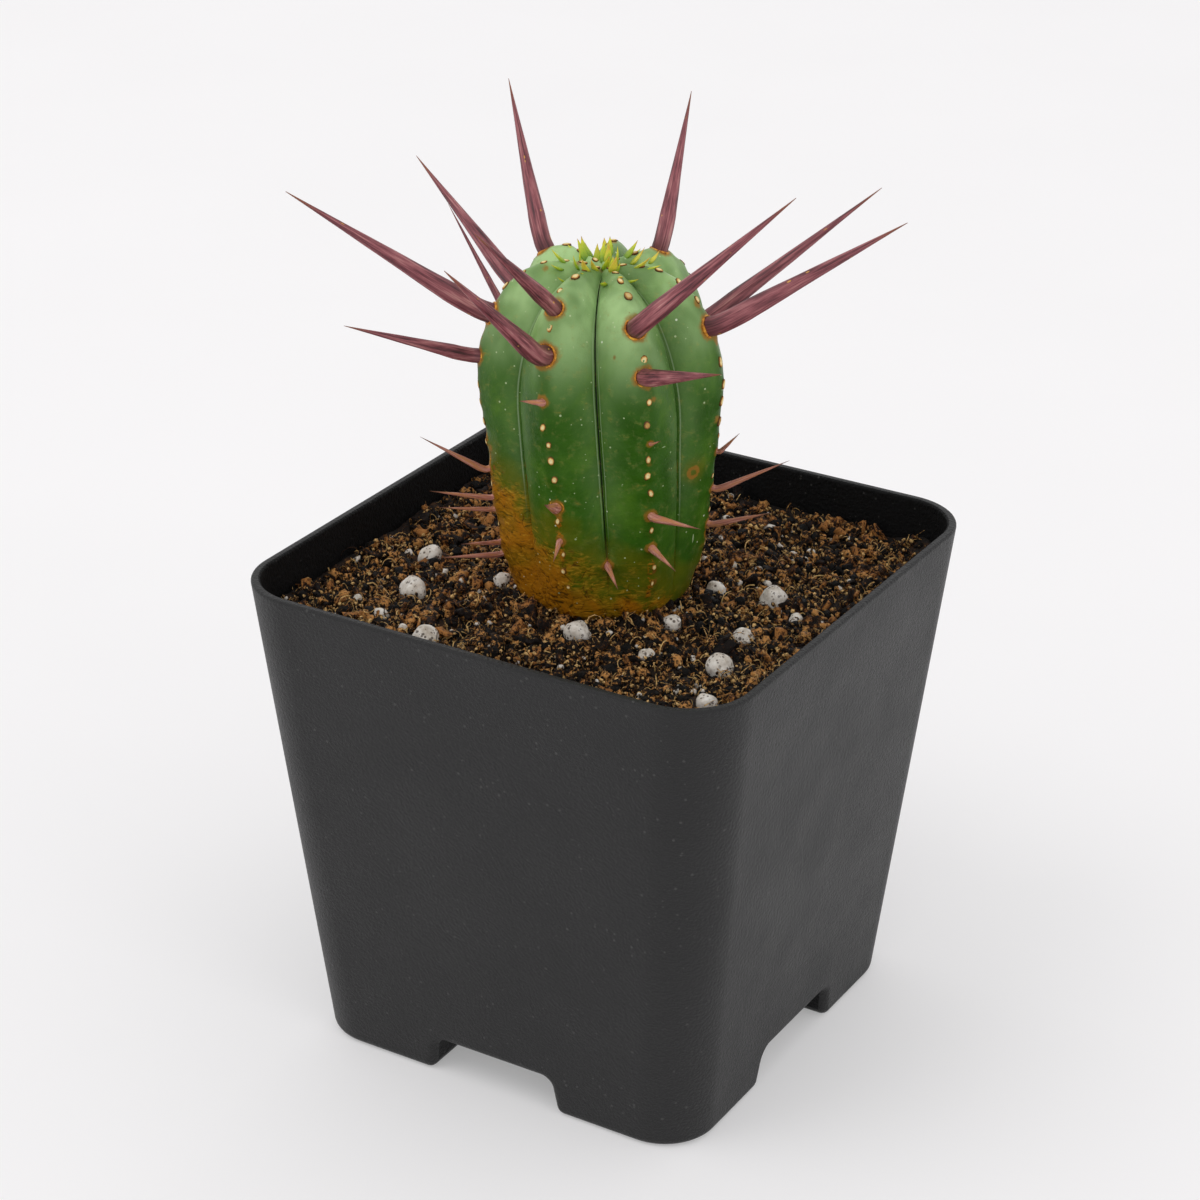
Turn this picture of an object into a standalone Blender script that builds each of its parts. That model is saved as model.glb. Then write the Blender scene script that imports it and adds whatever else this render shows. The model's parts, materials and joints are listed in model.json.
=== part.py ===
"""A young ribbed euphorbia with long purple spines, in a small square nursery pot.

Metres, +Z up. The origin is on the ground below the middle of the pot.
"""

import math

import bmesh
import bpy
from mathutils import Matrix, Vector

MM = 0.001
GAP = 0.3 * MM  # left between pieces that touch
NAME = "potted_euphorbia"

# pot: square and tapered, on four feet with a cross-shaped channel between them
POT_TOP = 63.5 * MM
POT_BASE = 51.4 * MM
POT_HEIGHT = 60 * MM
POT_CORNER = 8.2 * MM
POT_WALL = 1.1 * MM
POT_FLOOR = 1.2 * MM
RIM_BEVEL = 0.25 * MM
FOOT_BEVEL = 1.2 * MM
CHANNEL_WIDTH = 17 * MM
CHANNEL_TOP_WIDTH = 15.6 * MM
CHANNEL_HEIGHT = 4.7 * MM
CHANNEL_ROUND = 1.2 * MM
MIDDLE_HOLE = 8 * MM
ARM_HOLE = 5 * MM
ARM_HOLE_PLACE = 14 * MM

# potting mix
SOIL_BELOW_RIM = 5.5 * MM
SOIL_BUMP = 0.35 * MM
SOIL_BUMP_PITCH = 12 * MM  # the bumps run at slightly different pitches, so they don't line up
SOIL_GRID = 18
COLLAR_HEIGHT = 0.8 * MM  # how much higher the mix lies against the stem
COLLAR_REACH = 5 * MM

# stem: seven ribs with a slight twist, a little off the middle of the pot
STEM_X = -0.8 * MM
STEM_Y = -0.5 * MM
STEM_RADIUS = 14 * MM
STEM_HEIGHT = 41.6 * MM  # above the potting mix
STEM_ROOT = 8 * MM  # below the potting mix
RIB_COUNT = 7
FIRST_RIB = -36.5  # degrees, halfway up the stem
RIB_TWIST = -14.0  # degrees over the stem's height
RIB_OFF = (0, -4, 8, 0, 0, 4, 4)  # degrees by which each rib stands off an even spacing
RIB_SHARPNESS = 1.6
RIB_SIDES = 8
STEM_RINGS = 22
SOCKET_TOP = 0.2  # of the stem's height, above all of the mix
SOCKET_STEPS = 12

# crest radius and height, furrow radius and height, as shares of the stem's own, top to mix
STEM_TURN = (
    (0.00, 0.945, 0.00, 0.945),
    (0.24, 0.962, 0.18, 0.935),
    (0.48, 0.962, 0.37, 0.915),
    (0.70, 0.925, 0.55, 0.870),
    (0.86, 0.855, 0.69, 0.800),
    (0.96, 0.765, 0.78, 0.715),
    (1.00, 0.660, 0.82, 0.620),
    (0.95, 0.500, 0.81, 0.480),
    (0.89, 0.310, 0.79, 0.310),
    (0.84, 0.180, 0.76, 0.180),
    (0.74, 0.050, 0.71, 0.050),
    (0.64, 0.000, 0.62, 0.000),
)
SHOULDER = 2  # the row from which the crest runs down
# radius and depth of the root neck below the mix, as shares of the stem's radius and the root's depth
ROOT_TURN = ((0.46, 0.45), (0.25, 0.85), (0.00, 1.00))

# spines: rib, height of the base as a share of the stem's, swing from the rib and lift from the
# level in degrees, length, thickness
LONG_SPINES = {
    "a": (4, 0.930, -27, 43, 22 * MM, 2.2 * MM),
    "b": (2, 0.955, 41, 38, 21 * MM, 2.1 * MM),
    "c": (4, 0.797, -6, 28, 23 * MM, 2.3 * MM),
    "d": (4, 0.705, -14, 34, 18 * MM, 1.1 * MM),
    "e": (6, 0.910, -3, 41, 19 * MM, 2.1 * MM),
    "f": (5, 0.833, 5, 36, 27 * MM, 2.5 * MM),
    "g": (6, 0.803, -3, 41, 24 * MM, 2.5 * MM),
    "h": (5, 0.718, 17, 22, 17 * MM, 1.8 * MM),
    "i": (0, 0.876, 52, 44, 25 * MM, 2.4 * MM),
    "j": (2, 0.708, -32, 37, 26 * MM, 2.2 * MM),
    "k": (1, 0.829, 20, 32, 24.5 * MM, 2.5 * MM),
    "l": (0, 0.759, 22, 19, 13 * MM, 2.1 * MM),
    "m": (3, 0.520, 10, 5, 17 * MM, 2.0 * MM),
}
SHORT_SPINES = {
    "a": (6, 0.685, -35, 15, 3.0 * MM, 1.0 * MM),
    "b": (5, 0.402, 11, 35, 10 * MM, 0.9 * MM),
    "c": (5, 0.320, 20, 20, 9 * MM, 0.8 * MM),
    "d": (5, 0.286, 25, 18, 8.5 * MM, 0.7 * MM),
    "e": (5, 0.190, 34, 18, 7 * MM, 0.7 * MM),
    "f": (5, 0.156, 22, 14, 9.5 * MM, 0.8 * MM),
    "g": (6, 0.379, 0, 30, 3.5 * MM, 1.4 * MM),
    "h": (6, 0.279, 14, -6, 4.5 * MM, 0.8 * MM),
    "i": (0, 0.355, 22, 7, 7.5 * MM, 1.1 * MM),
    "j": (0, 0.255, 6, -10, 5 * MM, 1.0 * MM),
    "k": (1, 0.356, -7, 31, 10.5 * MM, 0.9 * MM),
    "l": (1, 0.468, -38, 44, 5.5 * MM, 0.7 * MM),
    "m": (1, 0.245, -17, 24, 9 * MM, 0.9 * MM),
    "n": (6.5, 0.200, 13, -12, 4.5 * MM, 0.9 * MM),
    "o": (0, 0.575, 10, 30, 2.5 * MM, 0.5 * MM),
    "p": (2, 0.420, 40, 20, 6 * MM, 0.9 * MM),
    "q": (2, 0.250, 35, 10, 5 * MM, 0.9 * MM),
    "r": (3, 0.350, 10, 15, 9 * MM, 0.9 * MM),
    "s": (3, 0.200, -15, 5, 6 * MM, 0.8 * MM),
    "t": (4, 0.440, -40, 20, 6 * MM, 0.9 * MM),
    "u": (4, 0.230, -35, 5, 5 * MM, 0.8 * MM),
}
SPINE_STEPS = 8
KNEE_SHARE = 0.06  # of the length, where a spine turns from square to the stem to its own way
THICK_SHARE = 0.3  # of the length, before the taper begins
TIP_SHARE = 0.08  # of the thickness

# young leaves round the growing point: rib, place on the outline counted in rows, lift in degrees
LEAVES = {
    "a": (0, 0.9, 50),
    "b": (1, 1.1, 30),
    "c": (2, 0.8, 40),
    "d": (3, 0.7, 35),
    "e": (4, 0.8, 40),
    "f": (5, 1.2, 35),
    "g": (6, 1.0, 40),
}
LEAF_LENGTH = 2.6 * MM
LEAF_WIDTH = 1.1 * MM
LEAF_THICKNESS = 0.6 * MM
LEAF_SIDES = 8

# perlite grains: x, y, diameter, share of the grain that is buried
PERLITE = {
    "a": (-10.7 * MM, -22.3 * MM, 3.3 * MM, 0.40),
    "b": (3.3 * MM, -12.8 * MM, 3.1 * MM, 0.45),
    "c": (17.8 * MM, 6.6 * MM, 3.2 * MM, 0.35),
    "d": (19.1 * MM, -3.0 * MM, 2.6 * MM, 0.45),
    "e": (20.8 * MM, -11.2 * MM, 3.1 * MM, 0.40),
    "f": (23.6 * MM, -19.2 * MM, 2.5 * MM, 0.45),
    "g": (-18.7 * MM, -13.0 * MM, 3.2 * MM, 0.40),
    "h": (-22.3 * MM, -3.9 * MM, 2.9 * MM, 0.45),
    "i": (11.0 * MM, -5.0 * MM, 2.4 * MM, 0.35),
    "j": (11.0 * MM, 5.2 * MM, 2.4 * MM, 0.40),
    "k": (-12.0 * MM, 20.0 * MM, 3.0 * MM, 0.40),
    "l": (8.2 * MM, 23.7 * MM, 1.8 * MM, 0.45),
}
GRAIN_TOP = 0.07  # of the stem's height, above every grain near it

# colour and roughness
LOOKS = {
    "pot": ((0.040, 0.040, 0.042), 0.55),
    "potting_mix": ((0.035, 0.022, 0.014), 0.95),
    "stem": ((0.105, 0.215, 0.080), 0.45),
    "long_spine": ((0.135, 0.040, 0.062), 0.50),
    "short_spine": ((0.420, 0.200, 0.160), 0.55),
    "leaf": ((0.400, 0.460, 0.060), 0.50),
    "perlite": ((0.780, 0.750, 0.700), 0.90),
}

CORNER_SEGMENTS = 6
EDGE_SEGMENTS = 3
HOLE_SIDES = 24
SMOOTH_BELOW = 35  # degrees between faces

SOIL_LEVEL = POT_HEIGHT - SOIL_BELOW_RIM


def new_collection(name):
    collection = bpy.data.collections.new(name)
    bpy.context.scene.collection.children.link(collection)
    return collection


def new_material(name, look):
    colour, roughness = LOOKS[look]
    material = bpy.data.materials.new(name)
    material.use_nodes = True
    shader = material.node_tree.nodes["Principled BSDF"]
    shader.inputs["Base Color"].default_value = (*colour, 1)
    shader.inputs["Roughness"].default_value = roughness
    shader.inputs["Metallic"].default_value = 0
    return material


def mesh_from(name, bm):
    mesh = bpy.data.meshes.new(name)
    bmesh.ops.recalc_face_normals(bm, faces=bm.faces)
    bm.to_mesh(mesh)
    bm.free()
    mesh.shade_smooth()
    mesh.set_sharp_from_angle(angle=math.radians(SMOOTH_BELOW))
    return mesh


def add_part(name, data, look):
    obj = bpy.data.objects.new(name, data)
    parts.objects.link(obj)
    data.materials.append(new_material(name, look))
    return obj


def add_cutter(name, data):
    obj = bpy.data.objects.new(name, data)
    cutters.objects.link(obj)
    obj.hide_render = True
    obj.display_type = "WIRE"
    return obj


def subtract(obj, *tools):
    for tool in tools:
        modifier = obj.modifiers.new(tool.name, "BOOLEAN")
        modifier.operation = "DIFFERENCE"
        modifier.solver = "MANIFOLD"
        modifier.object = tool


def bevel(bm, edges, width, segments):
    bmesh.ops.bevel(
        bm,
        geom=edges,
        offset=width,
        offset_type="OFFSET",
        segments=segments,
        profile=0.5,
        affect="EDGES",
    )


# pot


def half_width(z):
    """Half the pot's outside width at one height."""
    return (POT_BASE + (POT_TOP - POT_BASE) * z / POT_HEIGHT) / 2


def tapered_block(low, high, inset=0.0):
    """A block between two heights, with the pot's taper and round corners, set in from its outside."""
    bm = bmesh.new()
    bmesh.ops.create_cube(bm, size=2)
    top = half_width(high) - inset
    base = half_width(low) - inset
    for vert in bm.verts:
        vert.co.x *= top
        vert.co.y *= top
    upright = [e for e in bm.edges if e.verts[0].co.z * e.verts[1].co.z < 0]
    bevel(bm, upright, POT_CORNER - inset, CORNER_SEGMENTS)
    for vert in bm.verts:
        scale = 1 if vert.co.z > 0 else base / top
        vert.co = (vert.co.x * scale, vert.co.y * scale, high if vert.co.z > 0 else low)
    return bm


def edges_at(bm, z):
    return [e for e in bm.edges if all(abs(v.co.z - z) < 0.01 * MM for v in e.verts)]


def channel_bar(name, around, turn):
    """A bar that fills one arm of the channel and the given thickness of floor around it."""
    bm = bmesh.new()
    bmesh.ops.create_cube(bm, size=2)
    height = CHANNEL_HEIGHT + around
    slope = (CHANNEL_WIDTH - CHANNEL_TOP_WIDTH) / CHANNEL_HEIGHT
    for vert in bm.verts:
        up = vert.co.z > 0
        width = CHANNEL_TOP_WIDTH - slope * around if up else CHANNEL_WIDTH + slope * height
        vert.co.x *= POT_TOP
        vert.co.y *= width / 2 + around
        vert.co.z = height if up else -height
    long_top = [e for e in edges_at(bm, height) if e.calc_length() > POT_TOP]
    bevel(bm, long_top, CHANNEL_ROUND + around, EDGE_SEGMENTS)
    bm.transform(Matrix.Rotation(turn, 4, "Z"))
    return add_cutter(name, mesh_from(name, bm))


def channel_bars(name, around):
    return [channel_bar(f"{name}_x", around, 0), channel_bar(f"{name}_y", around, math.pi / 2)]


def drain_hole(name, x, y, diameter):
    bm = bmesh.new()
    bmesh.ops.create_cone(
        bm,
        cap_ends=True,
        segments=HOLE_SIDES,
        radius1=diameter / 2,
        radius2=diameter / 2,
        depth=2 * CHANNEL_HEIGHT,
        matrix=Matrix.Translation((x, y, CHANNEL_HEIGHT)),
    )
    return add_cutter(name, mesh_from(name, bm))


def make_pot():
    bm = tapered_block(0, POT_HEIGHT)
    bevel(bm, edges_at(bm, 0), FOOT_BEVEL, EDGE_SEGMENTS)
    bevel(bm, edges_at(bm, POT_HEIGHT), RIM_BEVEL, 1)
    pot = add_part("pot", mesh_from("pot", bm), "pot")

    hollow = tapered_block(POT_FLOOR, POT_HEIGHT + POT_WALL, POT_WALL)
    inside = add_cutter("pot_inside", mesh_from("pot_inside", hollow))
    subtract(inside, *channel_bars("raised_floor", POT_FLOOR))
    holes = [drain_hole("middle_hole", 0, 0, MIDDLE_HOLE)]
    for arm in range(4):
        turn = arm * math.pi / 2
        x = ARM_HOLE_PLACE * math.cos(turn)
        y = ARM_HOLE_PLACE * math.sin(turn)
        holes.append(drain_hole(f"arm_hole_{arm}", x, y, ARM_HOLE))
    subtract(pot, inside, *channel_bars("channel", 0), *holes)


# stem


def smooth_row(rows, place):
    """The smooth line through the rows (Catmull-Rom), read at a place counted in rows."""
    last = len(rows) - 1
    start = min(max(int(place), 0), last - 1)
    t = place - start
    a, b, c, d = (rows[min(max(start + i, 0), last)] for i in (-1, 0, 1, 2))
    return [
        q + 0.5 * t * (r - p + t * (2 * p - 5 * q + 4 * r - s + t * (3 * (q - r) + s - p)))
        for p, q, r, s in zip(a, b, c, d)
    ]


def stem_rows():
    rows = []
    for crest_r, crest_h, furrow_r, furrow_h in STEM_TURN:
        crest = (crest_r * STEM_RADIUS, SOIL_LEVEL + crest_h * STEM_HEIGHT)
        furrow = (furrow_r * STEM_RADIUS, SOIL_LEVEL + furrow_h * STEM_HEIGHT)
        rows.append((*crest, *furrow))
    for share, depth in ROOT_TURN:
        neck = (share * STEM_RADIUS, SOIL_LEVEL - depth * STEM_ROOT)
        rows.append((*neck, *neck))
    return rows


ROWS = stem_rows()


def rib_turn(rib, z):
    """The direction of a rib's crest at one height, in radians; half a rib on is its furrow."""
    rise = (z - SOIL_LEVEL) / STEM_HEIGHT - 0.5
    first = math.floor(rib)
    off, next_off = (RIB_OFF[i % RIB_COUNT] for i in (first, first + 1))
    off += (next_off - off) * (rib - first)
    return math.radians(FIRST_RIB + 360 / RIB_COUNT * rib + off + RIB_TWIST * rise)


def at_turn(turn, radius, z):
    return Vector((STEM_X + radius * math.cos(turn), STEM_Y + radius * math.sin(turn), z))


def outline(place, rib=0.0, out=0.0):
    """Radius and height of the skin at a place on a rib's side, moved out square to the outline."""
    depth = abs(2 * (rib - round(rib))) ** RIB_SHARPNESS

    def skin(at):
        crest_r, crest_z, furrow_r, furrow_z = smooth_row(ROWS, min(max(at, 0), len(ROWS) - 1))
        return Vector((crest_r + (furrow_r - crest_r) * depth, crest_z + (furrow_z - crest_z) * depth))

    step = 0.01
    run = (skin(place + step) - skin(place - step)).normalized()
    return skin(place) + out * Vector((-run.y, run.x))


def place_at(height):
    """The place on the crest's side that has this height, as a share of the stem's height."""
    high, low = SHOULDER, len(STEM_TURN) - 1
    for _ in range(30):
        middle = (high + low) / 2
        if outline(middle).y > SOIL_LEVEL + height * STEM_HEIGHT:
            high = middle
        else:
            low = middle
    return low


def make_stem():
    bm = bmesh.new()
    bmesh.ops.create_uvsphere(bm, u_segments=RIB_COUNT * RIB_SIDES, v_segments=STEM_RINGS, radius=1)
    for vert in bm.verts:
        place = math.acos(max(-1, min(1, vert.co.z))) / math.pi * (len(ROWS) - 1)
        rib = math.atan2(vert.co.y, vert.co.x) / (2 * math.pi) * RIB_COUNT
        radius, z = outline(place, rib)
        vert.co = at_turn(rib_turn(rib, z), radius, z)
    add_part("stem", mesh_from("stem", bm), "stem")


def stem_socket():
    """A turned cutter that clears the buried part of the stem."""
    first = place_at(SOCKET_TOP)
    run = len(ROWS) - 1 - first
    points = [outline(first + run * i / SOCKET_STEPS, 0, GAP) for i in range(SOCKET_STEPS)]
    points.insert(0, (0, points[0].y))
    points.append((0, SOIL_LEVEL - STEM_ROOT - GAP))
    mesh = bpy.data.meshes.new("stem_socket")
    mesh.from_pydata([(x, 0, z) for x, z in points], [(i, i + 1) for i in range(len(points) - 1)], [])
    socket = add_cutter("stem_socket", mesh)
    socket.location = (STEM_X, STEM_Y, 0)
    screw = socket.modifiers.new("turn", "SCREW")
    screw.steps = RIB_COUNT * RIB_SIDES
    screw.render_steps = screw.steps
    screw.use_merge_vertices = True
    screw.merge_threshold = 0.01 * MM
    return socket


# spines and leaves


def direction(turn, lift):
    return Vector((math.cos(turn) * math.cos(lift), math.sin(turn) * math.cos(lift), math.sin(lift)))


def add_spine(name, look, rib, height, swing, lift, length, thickness):
    place = place_at(height)
    radius, z = outline(place, rib)
    turn = rib_turn(rib, z)
    point = at_turn(turn, *outline(place, rib, GAP))
    square = (point - at_turn(turn, radius, z)).normalized()
    aim = direction(turn + math.radians(swing), math.radians(lift))

    curve = bpy.data.curves.new(name, "CURVE")
    curve.dimensions = "3D"
    curve.bevel_depth = thickness / 2
    curve.bevel_resolution = 2
    curve.use_fill_caps = True
    spline = curve.splines.new("POLY")
    spline.points.add(SPINE_STEPS)
    shares = [(i / SPINE_STEPS) ** 1.5 for i in range(SPINE_STEPS + 1)]
    for i, share in enumerate(shares):
        if i > 0:
            bend = min(shares[i - 1] / KNEE_SHARE, 1)
            point = point + square.lerp(aim, bend).normalized() * length * (share - shares[i - 1])
        taper = max(share - THICK_SHARE, 0) / (1 - THICK_SHARE)
        spline.points[i].co = (*point, 1)
        spline.points[i].radius = 1 - (1 - TIP_SHARE) * taper
    add_part(name, curve, look)


def add_leaf(name, rib, place, lift):
    turn = rib_turn(rib, outline(place).y)
    base = at_turn(turn, *outline(place, rib, GAP + LEAF_WIDTH / 2))
    bm = bmesh.new()
    bmesh.ops.create_uvsphere(bm, u_segments=LEAF_SIDES, v_segments=LEAF_SIDES, radius=1)
    sizes = (LEAF_WIDTH / 2, LEAF_THICKNESS / 2, LEAF_LENGTH / 2)
    bm.transform(Matrix.Translation((0, 0, LEAF_LENGTH / 2)) @ Matrix.Diagonal((*sizes, 1)))
    stand = direction(turn, math.radians(lift)).to_track_quat("Z", "Y")
    bm.transform(Matrix.Translation(base) @ stand.to_matrix().to_4x4())
    add_part(name, mesh_from(name, bm), "leaf")


# potting mix and perlite


def soil_height(x, y):
    """Small bumps, and a collar that rises towards the stem."""
    wave = 2 * math.pi / SOIL_BUMP_PITCH
    bump = math.sin(wave * x + 0.6) * math.cos(wave * y * 0.83) + 0.5 * math.sin(wave * (x + y) * 1.37)
    away = math.hypot(x - STEM_X, y - STEM_Y) - outline(len(STEM_TURN) - 1).x
    collar = math.exp(-max(away, 0) / COLLAR_REACH)
    return SOIL_LEVEL + SOIL_BUMP * bump + COLLAR_HEIGHT * collar


def clear_of_stem(x, y, diameter):
    """A grain's place, moved straight out from the stem if it would come too near."""
    axis = Vector((STEM_X, STEM_Y))
    away = Vector((x, y)) - axis
    nearest = outline(place_at(GRAIN_TOP)).x + diameter / 2 + 2 * GAP
    return axis + away * max(1, nearest / away.length)


def add_perlite(name, x, y, diameter, buried):
    """One grain, and the cutter of its hollow in the mix."""
    x, y = clear_of_stem(x, y, diameter)
    place = Matrix.Translation((x, y, soil_height(x, y) + diameter * (0.5 - buried)))
    grain = bmesh.new()
    bmesh.ops.create_icosphere(grain, subdivisions=2, radius=diameter / 2, matrix=place)
    add_part(name, mesh_from(name, grain), "perlite")
    hollow = bmesh.new()
    bmesh.ops.create_icosphere(hollow, subdivisions=2, radius=diameter / 2 + 1.1 * GAP, matrix=place)
    return add_cutter(f"{name}_hollow", mesh_from(name, hollow))


def soil_cover():
    """What is cut away above the uneven top of the mix."""
    bm = bmesh.new()
    bmesh.ops.create_grid(bm, x_segments=SOIL_GRID, y_segments=SOIL_GRID, size=0.6 * POT_TOP)
    for vert in bm.verts:
        vert.co.z = soil_height(vert.co.x, vert.co.y)
    lifted = bmesh.ops.extrude_face_region(bm, geom=list(bm.faces))
    for vert in lifted["geom"]:
        if isinstance(vert, bmesh.types.BMVert):
            vert.co.z = POT_HEIGHT + STEM_HEIGHT
    return add_cutter("soil_cover", mesh_from("soil_cover", bm))


def make_potting_mix(hollows):
    bm = tapered_block(POT_FLOOR + GAP, POT_HEIGHT, POT_WALL + GAP)
    mix = add_part("potting_mix", mesh_from("potting_mix", bm), "potting_mix")
    floor = channel_bars("mix_floor", POT_FLOOR + GAP)
    subtract(mix, soil_cover(), *floor, stem_socket(), *hollows)


for old in list(bpy.data.objects):
    bpy.data.objects.remove(old, do_unlink=True)
parts = new_collection(NAME)
cutters = new_collection("cutters")

make_pot()
make_stem()
make_potting_mix([add_perlite(f"perlite_{name}", *grain) for name, grain in PERLITE.items()])
for name, spine in LONG_SPINES.items():
    add_spine(f"long_spine_{name}", "long_spine", *spine)
for name, spine in SHORT_SPINES.items():
    add_spine(f"short_spine_{name}", "short_spine", *spine)
for name, leaf in LEAVES.items():
    add_leaf(f"leaf_{name}", *leaf)
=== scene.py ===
import json
import math
import random

import bmesh
import bpy
import numpy as np
from mathutils import Matrix, Vector, noise

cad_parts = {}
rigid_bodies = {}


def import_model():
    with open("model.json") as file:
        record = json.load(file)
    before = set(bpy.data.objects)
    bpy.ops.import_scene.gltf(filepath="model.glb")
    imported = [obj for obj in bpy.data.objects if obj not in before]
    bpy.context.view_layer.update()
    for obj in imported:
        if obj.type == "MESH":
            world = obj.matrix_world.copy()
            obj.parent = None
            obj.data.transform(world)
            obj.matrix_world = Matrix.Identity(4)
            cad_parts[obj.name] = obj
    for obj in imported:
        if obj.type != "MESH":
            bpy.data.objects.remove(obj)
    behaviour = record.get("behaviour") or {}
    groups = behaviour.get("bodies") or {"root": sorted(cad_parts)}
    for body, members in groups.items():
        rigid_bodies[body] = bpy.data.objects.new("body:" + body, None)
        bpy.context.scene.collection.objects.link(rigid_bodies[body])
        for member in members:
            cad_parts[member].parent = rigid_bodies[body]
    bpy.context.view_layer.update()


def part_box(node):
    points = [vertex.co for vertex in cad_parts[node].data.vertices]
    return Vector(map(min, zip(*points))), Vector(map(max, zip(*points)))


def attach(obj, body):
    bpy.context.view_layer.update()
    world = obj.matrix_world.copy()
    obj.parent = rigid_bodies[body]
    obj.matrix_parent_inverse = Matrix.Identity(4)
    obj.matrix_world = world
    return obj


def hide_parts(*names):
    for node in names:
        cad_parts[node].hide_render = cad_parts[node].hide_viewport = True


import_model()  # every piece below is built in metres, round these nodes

mm = 0.001
scene = bpy.context.scene


# small helpers for meshes

def addPiece(name, mesh):
    piece = bpy.data.objects.new(name, mesh)
    scene.collection.objects.link(piece)
    return piece


def meshFrom(name, bm):
    bmesh.ops.recalc_face_normals(bm, faces=bm.faces)
    mesh = bpy.data.meshes.new(name)
    bm.to_mesh(mesh)
    bm.free()
    return mesh


def frozen(piece):
    # the modifiers' result becomes the plain mesh
    graph = bpy.context.evaluated_depsgraph_get()
    graph.update()
    mesh = bpy.data.meshes.new_from_object(
        piece.evaluated_get(graph), preserve_all_data_layers=True, depsgraph=graph
    )
    piece.modifiers.clear()
    piece.data = mesh
    return piece


def discard(*things):
    for thing in things:
        bpy.data.objects.remove(thing, do_unlink=True)


def addAttribute(mesh, name, values, kind="FLOAT"):
    layer = mesh.attributes.new(name, kind, "POINT")
    key = "vector" if kind == "FLOAT_VECTOR" else "value"
    layer.data.foreach_set(key, np.asarray(values, np.float32).ravel())


def plainMesh(name, points, edges=(), faces=()):
    mesh = bpy.data.meshes.new(name)
    mesh.from_pydata(points, edges, faces)
    return mesh


def closedMesh(name, points, faces):
    # a smooth closed skin, its faces turned outwards
    mesh = plainMesh(name, points, faces=faces)
    bm = bmesh.new()
    bm.from_mesh(mesh)
    bmesh.ops.recalc_face_normals(bm, faces=bm.faces)
    bm.to_mesh(mesh)
    bm.free()
    mesh.shade_smooth()
    return mesh


def ringMesh(name, rings, firstPole, lastPole):
    # closed skin through rings of points, with a pole at each end
    count, around = rings.shape[:2]
    points = [firstPole, *rings.reshape(-1, 3).tolist(), lastPole]
    last = len(points) - 1
    faces = []
    for i in range(around):
        j = (i + 1) % around
        faces.append((0, 1 + i, 1 + j))
        for k in range(count - 1):
            a = 1 + k * around
            b = a + around
            faces.append((a + i, b + i, b + j, a + j))
        a = 1 + (count - 1) * around
        faces.append((a + i, last, a + j))
    return closedMesh(name, points, faces)


# small helpers for node trees: canvas holds the tree that new steps go into

canvas = {"tree": None}


def feed(socket, value):
    if isinstance(value, bpy.types.NodeSocket):
        canvas["tree"].links.new(value, socket)
    else:
        socket.default_value = value


def feedAll(step, *values):
    # in the order of the step's own sockets
    for socket, value in zip(step.inputs, values):
        feed(socket, value)


def wire(step, **sockets):
    for name, value in sockets.items():
        feed(step.inputs[name.replace("_", " ")], value)


def put(kind, settings=None, **sockets):
    step = canvas["tree"].nodes.new(kind)
    for name, value in (settings or {}).items():
        setattr(step, name, value)
    wire(step, **sockets)
    return step


def maths(operation, *values, clamp=False):
    step = put("ShaderNodeMath", {"operation": operation, "use_clamp": clamp})
    feedAll(step, *values)
    return step.outputs[0]


def times(first, *others, clamp=False):
    for other in others:
        first = maths("MULTIPLY", first, other, clamp=clamp)
    return first


def plus(first, second):
    return maths("ADD", first, second)


def minus(first, second):
    return maths("SUBTRACT", first, second)


def timesPlus(first, second, added):
    return maths("MULTIPLY_ADD", first, second, added)


def frayed(value, noisy, amount):
    # the value with a noise round one half added, so that its edges break up
    return timesPlus(minus(noisy, 0.5), amount, value)


def between(value, low, high, toLow=0.0, toHigh=1.0):
    step = put("ShaderNodeMapRange", {"interpolation_type": "SMOOTHSTEP"})
    feedAll(step, value, low, high, toLow, toHigh)
    return step.outputs[0]


def noiseOf(vector, scale, detail=2.0, roughness=0.5, distortion=0.0):
    step = put(
        "ShaderNodeTexNoise",
        Vector=vector,
        Scale=scale,
        Detail=detail,
        Roughness=roughness,
        Distortion=distortion,
    )
    return step.outputs["Fac"]


def stretched(vector, z):
    step = put("ShaderNodeVectorMath", {"operation": "MULTIPLY"})
    feedAll(step, vector, (1.0, 1.0, z))
    return step.outputs[0]


def newTree(name, kind, result, resultKind, sockets):
    tree = canvas["tree"] = bpy.data.node_groups.new(name, kind)
    for label, given in sockets.items():
        tree.interface.new_socket(label.replace("_", " "), in_out="INPUT", socket_type=f"NodeSocket{given}")
    tree.interface.new_socket(result, in_out="OUTPUT", socket_type=f"NodeSocket{resultKind}")
    return tree.nodes.new("NodeGroupInput"), tree.nodes.new("NodeGroupOutput")


# geometry trees

def newShapeTree(name, **sockets):
    return newTree(name, "GeometryNodeTree", "Geometry", "Geometry", {"Geometry": "Geometry", **sockets})


def finishTree(start, end, geometry):
    whole = put("GeometryNodeRealizeInstances", Geometry=geometry)
    smooth = put("GeometryNodeSetShadeSmooth", Geometry=whole.outputs[0])
    painted = put("GeometryNodeSetMaterial", Geometry=smooth.outputs[0], Material=start.outputs["Finish"])
    feed(end.inputs[0], painted.outputs[0])
    return canvas["tree"]


def applyTree(piece, tree, values):
    modifier = piece.modifiers.new(tree.name, "NODES")
    modifier.node_group = tree
    for item in tree.interface.items_tree:
        if item.in_out == "INPUT" and item.name in values:
            modifier[item.identifier] = values[item.name]
    return frozen(piece)


def named(name, kind="FLOAT"):
    return put("GeometryNodeInputNamedAttribute", {"data_type": kind}, Name=name).outputs[0]


def stored(geometry, name, value, kind="FLOAT", domain="POINT"):
    settings = {"data_type": kind, "domain": domain}
    return put(
        "GeometryNodeStoreNamedAttribute", settings, Geometry=geometry, Name=name, Value=value
    ).outputs[0]


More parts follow.
